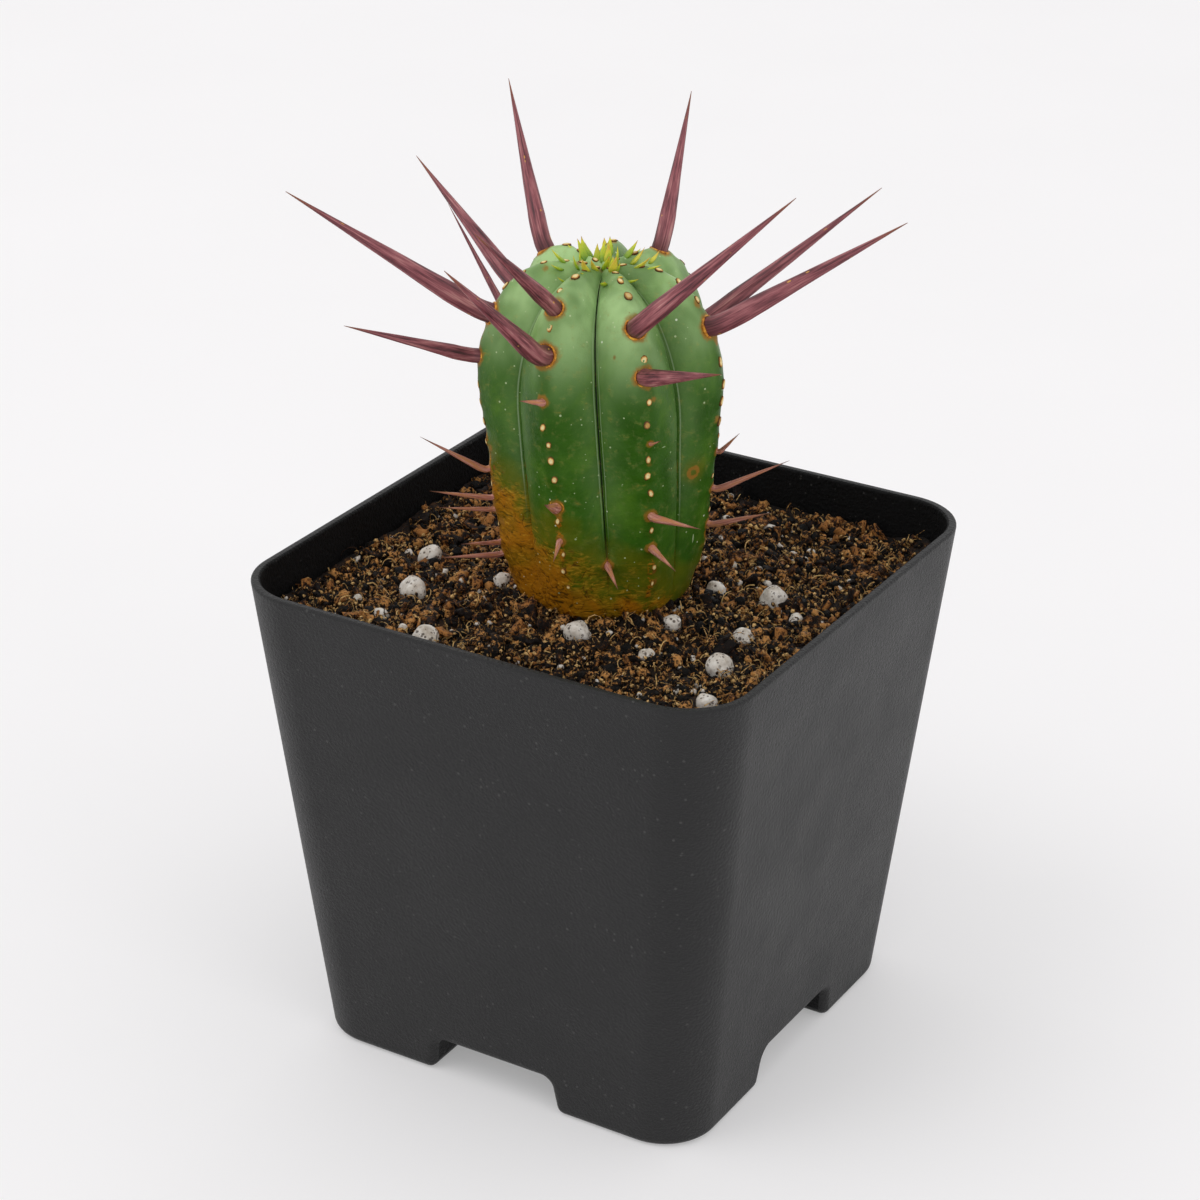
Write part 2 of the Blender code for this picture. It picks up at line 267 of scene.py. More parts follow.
def chance(seed, low=0.0, high=1.0):
    step = put("FunctionNodeRandomValue", {"data_type": "FLOAT"}, Seed=seed)
    feed(step.inputs[2], low)
    feed(step.inputs[3], high)
    return step.outputs[1]


def movedOut(geometry, distance):
    normal = put("GeometryNodeInputNormal").outputs[0]
    step = put("ShaderNodeVectorMath", {"operation": "SCALE"}, Scale=distance)
    feed(step.inputs[0], normal)
    return put("GeometryNodeSetPosition", Geometry=geometry, Offset=step.outputs[0]).outputs[0]


# shader groups that several finishes share

def newGroup(name, result, **sockets):
    return newTree(name, "ShaderNodeTree", result, "Float", sockets)


def makeGrainGroup():
    start, end = newGroup("fineGrain", "Height", Vector="Vector", Scale="Float")
    given = start.outputs
    coarse = noiseOf(given["Vector"], given["Scale"], 2.0)
    fine = noiseOf(given["Vector"], times(given["Scale"], 3.1), 1.0)
    feed(end.inputs[0], timesPlus(fine, 0.5, coarse))
    return canvas["tree"]


def makeSpeckGroup():
    # scattered round specks: how many to the metre, how big, and what share of the cells holds one
    start, end = newGroup("specks", "Mask", Vector="Vector", Scale="Float", Size="Float", Share="Float")
    given = start.outputs
    cells = put("ShaderNodeTexVoronoi", Vector=given["Vector"], Scale=given["Scale"])
    parts = put("ShaderNodeSeparateColor", Color=cells.outputs["Color"])
    chosen = maths("LESS_THAN", parts.outputs[0], given["Share"])
    size = times(given["Size"], plus(parts.outputs[1], 0.4))
    near = between(cells.outputs["Distance"], size, times(size, 0.6))
    feed(end.inputs[0], times(chosen, near))
    return canvas["tree"]


grainGroup = makeGrainGroup()
speckGroup = makeSpeckGroup()


def grain(vector, scale):
    return put("ShaderNodeGroup", {"node_tree": grainGroup}, Vector=vector, Scale=scale).outputs[0]


def specks(vector, scale, size, share):
    settings = {"node_tree": speckGroup}
    return put("ShaderNodeGroup", settings, Vector=vector, Scale=scale, Size=size, Share=share).outputs[0]


# small helpers for finishes

def newFinish(name, **constants):
    finish = bpy.data.materials.new(name)
    finish.use_nodes = True
    canvas["tree"] = finish.node_tree
    shader = finish.node_tree.nodes["Principled BSDF"]
    wire(shader, **constants)
    return finish, shader


def objectPoint():
    return put("ShaderNodeTexCoord").outputs["Object"]


def reading(name, output="Fac"):
    return put("ShaderNodeAttribute", {"attribute_name": name}).outputs[output]


def ramp(factor, *stops):
    step = put("ShaderNodeValToRGB", Fac=factor)
    elements = step.color_ramp.elements
    while len(elements) < len(stops):
        elements.new(0.5)
    for element, (place, colour) in zip(elements, stops):
        element.position = place
        element.color = (*colour, 1)
    return step.outputs["Color"]


def blendColour(mask, under, over, strength=None):
    factor = mask if strength is None else times(mask, strength)
    step = put("ShaderNodeMix", {"data_type": "RGBA"})
    for i, value in ((0, factor), (6, under), (7, over)):
        feed(step.inputs[i], (*value, 1) if isinstance(value, tuple) else value)
    return step.outputs[2]


def bump(shader, height, distance):
    wire(shader, Normal=put("ShaderNodeBump", Height=height, Distance=distance).outputs["Normal"])


def settle(piece, slotName, *nodes):
    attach(piece, "root")
    if nodes:
        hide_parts(*nodes)


# camera, floor and light

view = {
    "turn": 30.96,  # degrees round from the front, and up
    "rise": 25.81,
    "roll": 0.36,
    "aim": (-0.6, -1.3, 53.6),  # mm
    "distance": 368.1,  # mm
    "lens": 95.7,
    "nearest": 0.01,  # metres
}


def addCamera():
    turn, rise, roll = (math.radians(view[key]) for key in ("turn", "rise", "roll"))
    back = Vector((math.sin(turn) * math.cos(rise), -math.cos(turn) * math.cos(rise), math.sin(rise)))
    right = Vector((math.cos(turn), math.sin(turn), 0))
    up = back.cross(right)
    tiltedRight = right * math.cos(roll) + up * math.sin(roll)
    tiltedUp = up * math.cos(roll) - right * math.sin(roll)
    place = (Vector(view["aim"]) + back * view["distance"]) * mm
    data = bpy.data.cameras.new("camera")
    data.lens = view["lens"]
    data.dof.use_dof = False
    data.clip_start = view["nearest"]
    camera = addPiece("camera", data)
    camera.matrix_world = Matrix.Translation(place) @ Matrix(
        (tiltedRight, tiltedUp, back)
    ).transposed().to_4x4()
    scene.camera = camera


light = {
    "sky": (0.955, 0.95, 0.955),
    "skyStrength": 0.925,
    "keyPlace": (-0.42, -0.62, 1.15),  # metres
    "keySize": 0.7,
    "keyPower": 2.2,
    "sidePlace": (0.9, -0.25, 0.55),
    "sideSize": 0.5,
    "sidePower": 0.6,
    "floor": (0.665, 0.655, 0.66),
    "floorGlow": 0.28,
    "aim": (0, 0, 0.05),
    "floorSize": 8,  # metres either way
    "floorShade": 0.985,  # of the floor's colour, in its darker clouds
    "floorClouds": 18.0,  # noise scale to the metre
}


def addLamp(name, place, size, power):
    data = bpy.data.lights.new(name, "AREA")
    data.shape = "DISK"
    data.size = size
    data.energy = power
    lamp = addPiece(name, data)
    lamp.location = place
    lamp.rotation_euler = (Vector(light["aim"]) - Vector(place)).to_track_quat("-Z", "Y").to_euler()


def addStage():
    bm = bmesh.new()
    bmesh.ops.create_grid(bm, x_segments=8, y_segments=8, size=light["floorSize"])
    floor = addPiece("floor", meshFrom("floor", bm))
    finish, shader = newFinish(
        "floorPaper", Roughness=0.75, Specular_IOR_Level=0.15, Emission_Strength=light["floorGlow"]
    )
    tone = noiseOf(objectPoint(), light["floorClouds"], 3.0)
    shade = tuple(light["floorShade"] * part for part in light["floor"])
    wire(shader, Base_Color=ramp(tone, (0.3, shade), (0.7, light["floor"])))
    floor.data.materials.append(finish)
    world = bpy.data.worlds.new("studio")
    world.use_nodes = True
    sky = world.node_tree.nodes["Background"]
    sky.inputs["Color"].default_value = (*light["sky"], 1)
    sky.inputs["Strength"].default_value = light["skyStrength"]
    scene.world = world
    addLamp("keyLamp", light["keyPlace"], light["keySize"], light["keyPower"])
    addLamp("sideLamp", light["sidePlace"], light["sideSize"], light["sidePower"])
    scene.view_settings.view_transform = "Standard"


addCamera()
addStage()
print("camera, floor and light are up")


# pot: a tapered square with round corners, on four feet with a cross-shaped channel between them

pot = {
    "base": 51.4 * mm,
    "corner": 8.2 * mm,
    "wall": 1.1 * mm,
    "floor": 1.2 * mm,
    "footRound": 1.0 * mm,
    "rimRound": 0.36 * mm,
    "channelWidth": 17 * mm,
    "channelTop": 15.6 * mm,
    "channelHeight": 4.7 * mm,
    "channelRound": 1.2 * mm,
    "middleHole": 8 * mm,
    "armHole": 5 * mm,
    "armHolePlace": 14 * mm,
    "cornerSteps": 16,
    "mixBelowRim": 5.5 * mm,
    "holeSides": 40,
    "roundSteps": {"channel": 6, "foot": 5, "rim": 4},
    "spareTop": (3 * mm, 2 * mm),  # how far the outer and inner blocks pass the rim before the trim
    "edgeAngle": math.radians(40),
    "sharpAngle": math.radians(35),
    "weld": 0.002 * mm,
    "plastic": (0.0062, 0.0062, 0.0066),
    "darkest": 0.8,  # of that colour
    "dust": (0.075, 0.074, 0.072),
    "dustSpecks": (1300.0, 0.20, 0.30),  # to the metre, size, share
    "dustStrength": 0.5,
    "outsideGloss": 0.40,
    "insideGloss": 0.10,
    "rough": (0.40, 0.52),
    "grainScale": 2700.0,
    "grainDepth": 0.20 * mm,
    "clouds": 90.0,
    "inward": 0.3,  # how far a face leans to the middle to count as inside
}
potLow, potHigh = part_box("pot")
potTop = potHigh.x - potLow.x
potHeight = potHigh.z


def halfWidth(z):
    return (pot["base"] + (potTop - pot["base"]) * z / potHeight) / 2


def bevelEdges(bm, edges, width, segments):
    bmesh.ops.bevel(
        bm, geom=edges, offset=width, offset_type="OFFSET", segments=segments, profile=0.5, affect="EDGES"
    )


def taperedBlock(low, high, inset):
    bm = bmesh.new()
    bmesh.ops.create_cube(bm, size=2)
    top = halfWidth(high) - inset
    base = halfWidth(low) - inset
    for vert in bm.verts:
        vert.co.x *= top
        vert.co.y *= top
    upright = [e for e in bm.edges if e.verts[0].co.z * e.verts[1].co.z < 0]
    bevelEdges(bm, upright, pot["corner"] - inset, pot["cornerSteps"])
    for vert in bm.verts:
        scale = 1 if vert.co.z > 0 else base / top
        vert.co = (vert.co.x * scale, vert.co.y * scale, high if vert.co.z > 0 else low)
    return bm


def channelBar(name, around, turn):
    bm = bmesh.new()
    bmesh.ops.create_cube(bm, size=2)
    height = pot["channelHeight"] + around
    slope = (pot["channelWidth"] - pot["channelTop"]) / pot["channelHeight"]
    for vert in bm.verts:
        up = vert.co.z > 0
        width = pot["channelTop"] - slope * around if up else pot["channelWidth"] + slope * height
        vert.co.x *= potTop
        vert.co.y *= width / 2 + around
        vert.co.z = height if up else -height
    longTop = [e for e in bm.edges if all(v.co.z > 0 for v in e.verts) and e.calc_length() > potTop]
    bevelEdges(bm, longTop, pot["channelRound"] + around, pot["roundSteps"]["channel"])
    bm.transform(Matrix.Rotation(turn, 4, "Z"))
    return addPiece(name, meshFrom(name, bm))


def cut(piece, *tools):
    for tool in tools:
        modifier = piece.modifiers.new(tool.name, "BOOLEAN")
        modifier.operation = "DIFFERENCE"
        modifier.solver = "MANIFOLD"
        modifier.object = tool
    frozen(piece)
    discard(*tools)


def drainHole(x, y, width):
    bm = bmesh.new()
    place = Matrix.Translation((x, y, pot["channelHeight"]))
    size = {"radius1": width / 2, "radius2": width / 2, "depth": 2 * pot["channelHeight"]}
    bmesh.ops.create_cone(bm, cap_ends=True, segments=pot["holeSides"], matrix=place, **size)
    return addPiece("drainHole", meshFrom("drainHole", bm))


def topTrim():
    bm = bmesh.new()
    bmesh.ops.create_cube(bm, size=2 * potTop, matrix=Matrix.Translation((0, 0, potHeight + potTop)))
    return addPiece("topTrim", meshFrom("topTrim", bm))


def potPlastic(name, gloss):
    finish, shader = newFinish(name, Specular_IOR_Level=gloss)
    point = objectPoint()
    fine = grain(point, pot["grainScale"])
    cloud = noiseOf(point, pot["clouds"], 4.0, 0.6)
    dark = tuple(pot["darkest"] * part for part in pot["plastic"])
    body = ramp(cloud, (0.3, dark), (0.7, pot["plastic"]))
    body = blendColour(specks(point, *pot["dustSpecks"]), body, pot["dust"], pot["dustStrength"])
    wire(shader, Base_Color=body)
    wire(shader, Roughness=between(timesPlus(fine, 0.3, cloud), 0.4, 1.0, *pot["rough"]))
    bump(shader, fine, pot["grainDepth"])
    return finish


def buildPot():
    shell = addPiece("potShell", meshFrom("potShell", taperedBlock(0, potHeight + pot["spareTop"][0], 0)))
    cut(shell, channelBar("channelAcross", 0, 0), channelBar("channelAlong", 0, math.pi / 2))
    rounding = shell.modifiers.new("edges", "BEVEL")
    rounding.width = pot["footRound"]
    rounding.segments = pot["roundSteps"]["foot"]
    rounding.limit_method = "ANGLE"
    rounding.angle_limit = pot["edgeAngle"]
    frozen(shell)

    hollow = taperedBlock(pot["floor"], potHeight + pot["spareTop"][1], pot["wall"])
    inside = addPiece("inside", meshFrom("inside", hollow))
    cut(
        inside,
        channelBar("raisedAcross", pot["floor"], 0),
        channelBar("raisedAlong", pot["floor"], math.pi / 2),
    )
    holes = [drainHole(0, 0, pot["middleHole"])]
    for arm in range(4):
        turn = arm * math.pi / 2
        holes.append(
            drainHole(
                pot["armHolePlace"] * math.cos(turn), pot["armHolePlace"] * math.sin(turn), pot["armHole"]
            )
        )
    cut(shell, inside, topTrim(), *holes)

    bm = bmesh.new()
    bm.from_mesh(shell.data)
    bmesh.ops.remove_doubles(bm, verts=bm.verts, dist=pot["weld"])
    rim = [e for e in bm.edges if all(abs(v.co.z - potHeight) < 0.01 * mm for v in e.verts)]
    rim = [e for e in rim if e.calc_face_angle(0) > pot["edgeAngle"]]
    bevelEdges(bm, rim, pot["rimRound"], pot["roundSteps"]["rim"])
    bm.to_mesh(shell.data)
    bm.free()
    shell.data.shade_smooth()
    shell.data.set_sharp_from_angle(angle=pot["sharpAngle"])
    evened = shell.modifiers.new("evened", "WEIGHTED_NORMAL")
    evened.keep_sharp = True
    frozen(shell)
    shell.data.materials.clear()
    for name, gloss in (("blackPotPlastic", "outsideGloss"), ("blackPotInside", "insideGloss")):
        shell.data.materials.append(potPlastic(name, pot[gloss]))
    for face in shell.data.polygons:
        inward = -(face.normal.x * face.center.x + face.normal.y * face.center.y)
        face.material_index = int(
            face.center.z > pot["floor"] and inward > pot["inward"] * face.center.xy.length
        )
    settle(shell, "pot", "pot")


buildPot()
print("pot is built")


# stem outline: the same rows and rules as the CAD stem

stem = {
    "x": -0.8 * mm,
    "y": -0.5 * mm,
    "radius": 14 * mm,
    "height": 41.6 * mm,
    "root": 8 * mm,
    "ribs": 7,
    "firstRib": -36.5,  # degrees
    "twist": -14.0,
    "ribOff": (0, -4, 8, 0, 0, 4, 4),
    "sharpness": 1.6,
    "rows": (
        (0.00, 0.945, 0.00, 0.945),
        (0.24, 0.962, 0.18, 0.935),
        (0.48, 0.962, 0.37, 0.915),
        (0.70, 0.925, 0.55, 0.870),
        (0.86, 0.855, 0.69, 0.800),
        (0.96, 0.765, 0.78, 0.715),
        (1.00, 0.660, 0.82, 0.620),
        (0.95, 0.500, 0.81, 0.480),
        (0.89, 0.310, 0.79, 0.310),
        (0.84, 0.180, 0.76, 0.180),
        (0.74, 0.050, 0.71, 0.050),
        (0.64, 0.000, 0.62, 0.000),
    ),
    "rootRows": ((0.46, 0.45), (0.25, 0.85), (0.00, 1.00)),
    "sideSteps": 44,  # faces across one rib
    "rings": 236,
    "rootRings": 10,
    "furrowDepth": 0.42 * mm,
    "wrinkleDepth": 0.16 * mm,
    "halo": (0.68, 0.43, 1.1),  # rib, rise and width in millimetres of a ringed scar
    # where the cork ends: degrees round the stem, millimetres above the mix
    "corkEdge": ((-195, 20), (-150, 23), (-122, 17), (-98, 12.5), (-75, 10), (-58, 7.6), (-38, 7.0),
                 (-22, 4.2), (0, 2.8), (25, 5.5), (60, 12), (110, 15), (165, 20)),
    "corkRagged": (260, 2.6),  # noise scale to the metre, height in millimetres
    "cushionKnob": 0.24 * mm,
    "spineKnob": 0.35 * mm,
    "knobReach": {"long": 1.9, "short": 1.1},  # millimetres
    "scarShare": 0.38,  # of the cushions
    "scarShift": 0.7,  # millimetres
    "seed": 5,
}
soilLevel = potHeight - pot["mixBelowRim"]
stemRows = []
for crestR, crestH, furrowR, furrowH in stem["rows"]:
    crest = (crestR * stem["radius"], soilLevel + crestH * stem["height"])
    stemRows.append((*crest, furrowR * stem["radius"], soilLevel + furrowH * stem["height"]))
for share, depth in stem["rootRows"]:
    neck = (share * stem["radius"], soilLevel - depth * stem["root"])
    stemRows.append((*neck, *neck))
shoulder, foot = 2, len(stem["rows"]) - 1  # rows between which the crest runs down


def smoothRow(rows, place):
    # Catmull-Rom through the rows, read at a place counted in rows
    last = len(rows) - 1
    start = min(max(int(place), 0), last - 1)
    t = place - start
    a, b, c, d = (rows[min(max(start + i, 0), last)] for i in (-1, 0, 1, 2))
    return [
        q + 0.5 * t * (r - p + t * (2 * p - 5 * q + 4 * r - s + t * (3 * (q - r) + s - p)))
        for p, q, r, s in zip(a, b, c, d)
    ]


def ribTurn(rib, z):
    rise = (z - soilLevel) / stem["height"] - 0.5
    first = math.floor(rib)
    off, nextOff = (stem["ribOff"][i % stem["ribs"]] for i in (first, first + 1))
    off += (nextOff - off) * (rib - first)
    return math.radians(stem["firstRib"] + 360 / stem["ribs"] * rib + off + stem["twist"] * rise)


def atTurn(turn, radius, z):
    return Vector((stem["x"] + radius * math.cos(turn), stem["y"] + radius * math.sin(turn), z))


def outline(place, rib=0.0, out=0.0):
    depth = abs(2 * (rib - round(rib))) ** stem["sharpness"]

    def rowPoint(at):
        crestR, crestZ, furrowR, furrowZ = smoothRow(stemRows, min(max(at, 0), len(stemRows) - 1))
        return Vector((crestR + (furrowR - crestR) * depth, crestZ + (furrowZ - crestZ) * depth))

    run = (rowPoint(place + 0.01) - rowPoint(place - 0.01)).normalized()
    return rowPoint(place) + out * Vector((-run.y, run.x))


def placeAt(height):
    high, low = shoulder, foot
    for _ in range(30):
        middle = (high + low) / 2
        if outline(middle).y > soilLevel + height * stem["height"]:
            high = middle
        else:
            low = middle
    return low


def onSkin(place, rib, out=0.0):
    # a point on the skin, and the direction square to it
    radius, z = outline(place, rib)
    turn = ribTurn(rib, z)
    near = atTurn(turn, radius, z)
    square = (atTurn(turn, *outline(place, rib, mm)) - near).normalized()
    return near + square * out, square


# spines: rib, height of the base as a share of the stem's, swing and lift in degrees, length, thickness

spines = {
    "gap": 0.3 * mm,
    "steps": 8,
    "kneeShare": 0.06,
    "long": {
        "a": (4, 0.930, -27, 43, 22.0, 2.2),
        "b": (2, 0.955, 41, 38, 21.0, 2.1),
        "c": (4, 0.797, -6, 28, 23.0, 2.3),
        "d": (4, 0.705, -14, 34, 18.0, 1.1),
        "e": (6, 0.910, -3, 41, 19.0, 2.1),
        "f": (5, 0.833, 5, 36, 27.0, 2.5),
        "g": (6, 0.803, -3, 41, 24.0, 2.5),
        "h": (5, 0.718, 17, 22, 17.0, 1.8),
        "i": (0, 0.876, 52, 44, 25.0, 2.4),
        "j": (2, 0.708, -32, 37, 26.0, 2.2),
        "k": (1, 0.829, 20, 32, 24.5, 2.5),
        "l": (0, 0.759, 22, 19, 13.0, 2.1),
        "m": (3, 0.520, 10, 5, 17.0, 2.0),
    },
    "short": {
        "a": (6, 0.685, -35, 15, 3.0, 1.0),
        "b": (5, 0.402, 11, 35, 10.0, 0.9),
        "c": (5, 0.320, 20, 20, 9.0, 0.8),
        "d": (5, 0.286, 25, 18, 8.5, 0.7),
        "e": (5, 0.190, 34, 18, 7.0, 0.7),
        "f": (5, 0.156, 22, 14, 9.5, 0.8),
        "g": (6, 0.379, 0, 30, 3.5, 1.4),
        "h": (6, 0.279, 14, -6, 4.5, 0.8),
        "i": (0, 0.355, 22, 7, 7.5, 1.1),
        "j": (0, 0.255, 6, -10, 5.0, 1.0),
        "k": (1, 0.356, -7, 31, 10.5, 0.9),
        "l": (1, 0.468, -38, 44, 5.5, 0.7),
        "m": (1, 0.245, -17, 24, 9.0, 0.9),
        "n": (6.5, 0.200, 13, -12, 4.5, 0.9),
        "o": (0, 0.575, 10, 30, 2.5, 0.5),
        "p": (2, 0.420, 40, 20, 6.0, 0.9),
        "q": (2, 0.250, 35, 10, 5.0, 0.9),
        "r": (3, 0.350, 10, 15, 9.0, 0.9),
        "s": (3, 0.200, -15, 5, 6.0, 0.8),
        "t": (4, 0.440, -40, 20, 6.0, 0.9),
        "u": (4, 0.230, -35, 5, 5.0, 0.8),
    },
}


def direction(turn, lift):
    return Vector((math.cos(turn) * math.cos(lift), math.sin(turn) * math.cos(lift), math.sin(lift)))


def spineRoute(rib, height, swing, lift, length, thickness):
    # the CAD spine's own nine points, and the direction square to the skin
    place = placeAt(height)
    near, square = onSkin(place, rib)
    turn = ribTurn(rib, near.z)
    aim = direction(turn + math.radians(swing), math.radians(lift))
    point = near + square * spines["gap"]
    points = [point.copy()]
    shares = [(i / spines["steps"]) ** 1.5 for i in range(spines["steps"] + 1)]
    for before, share in zip(shares, shares[1:]):
        bend = min(before / spines["kneeShare"], 1)
        point = point + square.lerp(aim, bend).normalized() * length * mm * (share - before)
        points.append(point.copy())
    return points, square


# areoles: rows of small cushions down the crests

areoles = {
    "seed": 11,
    "firstStep": 1.5,  # millimetres along the crest from the growing point
    "step": 2.35,
    "jitter": 0.42,
    "clearance": 1.40,  # no cushion nearer a spine's base than this
    "lastHeight": 0.10,
    "startSpread": 1.2,
    "sideways": 0.035,  # of the way from crest to furrow
    "crestSteps": 400,
}


def crestLine(rib):
    # place, point and distance along one crest, from the growing point down
    line = []
    run = 0.0
    last = None
    steps = areoles["crestSteps"]
    for i in range(steps + 1):
        place = foot * i / steps
        point, _ = onSkin(place, rib)
        if last is not None:
            run += (point - last).length
        last = point
        line.append((place, point, run))
    return line


def areoleSpots():
    pick = random.Random(areoles["seed"])
    bases = [spineRoute(*row)[0][0] for group in ("long", "short") for row in spines[group].values()]
    spots = []
    for rib in range(stem["ribs"]):
        along = areoles["firstStep"] + pick.uniform(0, areoles["startSpread"])
        for place, point, run in crestLine(rib):
            if run < along * mm or point.z < soilLevel + areoles["lastHeight"] * stem["height"]:
                continue
            along += areoles["step"] + pick.uniform(-1, 1) * areoles["jitter"]
            side = pick.uniform(-areoles["sideways"], areoles["sideways"])
            spot, square = onSkin(place, rib + side)
            if min((spot - base).length for base in bases) < areoles["clearance"] * mm:
                continue
            spots.append((spot, square, (spot.z - soilLevel) / stem["height"]))
    return spots


areoleList = areoleSpots()


# stem body

def smoothStep(value, low, high):
    t = np.clip((value - low) / (high - low), 0, 1)
    return t * t * (3 - 2 * t)


def stemPoints():
    around = stem["ribs"] * stem["sideSteps"]
    upper = [foot * (i + 1) / stem["rings"] for i in range(stem["rings"])]
    lower = [
        foot + (len(stemRows) - 1 - foot) * (i + 1) / (stem["rootRings"] + 1)
        for i in range(stem["rootRings"])
    ]
    rows = np.array([smoothRow(stemRows, place) for place in upper + lower])
    rib = np.arange(around) / stem["sideSteps"]
    side = 2 * (rib - np.round(rib))
    depth = np.abs(side) ** stem["sharpness"]
    radius = rows[:, None, 0] + (rows[:, None, 2] - rows[:, None, 0]) * depth
    z = rows[:, None, 1] + (rows[:, None, 3] - rows[:, None, 1]) * depth
    first = np.floor(rib).astype(int)
    off = np.array(stem["ribOff"], float)
    here, beyond = off[first % stem["ribs"]], off[(first + 1) % stem["ribs"]]
    turnOff = here + (beyond - here) * (rib - first)
    rise = (z - soilLevel) / stem["height"]
    turn = np.radians(stem["firstRib"] + 360 / stem["ribs"] * rib + turnOff + stem["twist"] * (rise - 0.5))
    points = np.stack([stem["x"] + radius * np.cos(turn), stem["y"] + radius * np.sin(turn), z], axis=-1)
    return points, np.broadcast_to(side, z.shape), rise, turn


def withPoles(values, first, last):
    return np.concatenate([[first], values.ravel(), [last]])


relief = {
    "crease": (0.935, 1.0),  # from crest, 0, to furrow, 1
    "creaseFoot": (0.07, 0.22),  # rises between which the crease comes in, and goes again
    "creaseTop": (0.945, 0.90),
    "wrinkles": (520.0, 3.0, 0.6, 1.2),  # noise: scale, detail, roughness, distortion
    "wrinkleStretch": 3.4,
    "cracks": (230.0, 2.0, 0.5, 2.2),
    "crackWidth": 0.022,
    "crackDepth": -1.3,
    "softScale": 210.0,
    "softDepth": 0.34 * mm,
}


def stemReliefTree():
    start, end = newShapeTree("stemRelief", Furrow_Depth="Float", Wrinkle_Depth="Float", Finish="Material")
    given = start.outputs
    point = put("GeometryNodeInputPosition").outputs[0]
    side = maths("ABSOLUTE", named("ribSide"))
    rise = named("rise")
    fade = (between(rise, *relief["creaseFoot"]), between(rise, *relief["creaseTop"]))
    crease = times(between(side, *relief["crease"]), *fade)
    crease = times(crease, times(given["Furrow Depth"], -1.0))
    wrinkles = noiseOf(stretched(point, relief["wrinkleStretch"]), *relief["wrinkles"])
    wander = maths("ABSOLUTE", minus(noiseOf(point, *relief["cracks"]), 0.5))
    cracked = between(wander, relief["crackWidth"], 0.0, 0.0, relief["crackDepth"])
    rough = times(plus(timesPlus(wrinkles, 2.0, -1.0), cracked), named("cork"), given["Wrinkle Depth"])
    soft = times(minus(noiseOf(point, relief["softScale"], 2.0), 0.5), relief["softDepth"])
    total = plus(plus(crease, rough), plus(soft, named("knobs")))
    return finishTree(start, end, movedOut(given["Geometry"], total))


skin = {
    "deep": (0.020, 0.076, 0.002),
    "green": (0.036, 0.112, 0.007),
    "fresh": (0.092, 0.205, 0.016),
    # wax colour, also used for the painted sheen on the flanks
    "waxAndSheen": (0.410, 0.610, 0.265),
    # colour of the painted highlight beside the furrows
    "edgeHighlight": (0.56, 0.70, 0.46),
    # colour of the painted shade in the furrows
    "furrow": (0.003, 0.012, 0.001),
    "cork": (0.370, 0.140, 0.003),
    # dark bark and cracks, and also the painted shade down the furrows over the cork
    "corkDarkAndShade": (0.060, 0.022, 0.001),
    "corkPale": (0.620, 0.340, 0.028),
    "olive": (0.140, 0.120, 0.003),
    "scar": (0.30, 0.135, 0.018),
    "clouds": (170.0, 4.0, 0.62, 0.4),  # noises: scale, detail, roughness, distortion
    "fine": (900.0, 3.0, 0.65),
    "patches": (130.0, 3.0, 0.6),
    "warm": (105.0, 3.0, 0.55, 0.6),
    "bark": (620.0, 4.0, 0.6, 1.8),
    "cracks": (230.0, 2.0, 0.5, 2.2),
    # masks: from, to, and what they give there, by rise or by the way from crest to furrow
    "shoulders": (0.62, 0.97, 0.0, 0.88),
    # the pale on the flanks is partly wax and partly painted sheen
    "flank": (0.35, 0.85),
    "flankRise": (0.15, 0.65, 0.03, 0.31),
    "flankWaxAndSheen": 0.45,
    "waxAndSheenPatches": (0.34, 0.64, 0.38, 1.18),
    "rubbedCrest": (0.36, 0.04),
    "rubbedLeast": 0.42,
    "rubbedRise": (0.92, 0.70),
    "rubbedCloud": (0.36, 0.60, 0.20, 0.78),
    # where the painted highlight beside the furrow runs, and how strong it is
    "edgeHighlightBand": ((0.925, 0.940), (0.964, 0.954)),
    "edgeHighlightRise": (0.22, 0.45),
    "edgeHighlightStrength": 0.32,
    # where the painted furrow shade begins, how soft its edge is, and where it fades
    "furrowShadeFrom": 0.964,
    "furrowShadeSoft": 0.008,
    "furrowShadeFoot": (0.08, 0.18),
    "furrowShadeTop": (0.985, 0.965),
    "grain": 1500.0,
    "bump": 0.055 * mm,
    # scattered marks: how many to the metre, size, share, strength, colour
    "marks": {
        "scabs": (330.0, 0.10, 0.13, 0.85, (0.20, 0.085, 0.012)),
        "dots": (1150.0, 0.125, 0.42, 0.72, (0.50, 0.60, 0.34)),
        "bigDots": (560.0, 0.070, 0.40, 0.85, (0.72, 0.80, 0.62)),
        "scratches": (820.0, 0.085, 0.30, 0.75, (0.46, 0.56, 0.32)),
        "crossScratches": (760.0, 0.080, 0.26, 0.7, (0.42, 0.54, 0.30)),
    },
}


def paintWaxAndSheen(green, fine, side, rise, point):
    # wax lies thickest on the shoulders; the pale down the flanks is partly wax and partly painted sheen
    flank = times(between(side, *skin["flank"]), between(rise, *skin["flankRise"]), skin["flankWaxAndSheen"])
    patch = between(noiseOf(stretched(point, 0.6), *skin["patches"]), *skin["waxAndSheenPatches"])
    waxAndSheen = times(maths("MAXIMUM", between(rise, *skin["shoulders"]), flank), patch, clamp=True)
    body = blendColour(waxAndSheen, green, skin["waxAndSheen"])
    return blendColour(between(fine, 0.50, 0.70), body, skin["waxAndSheen"], 0.08)


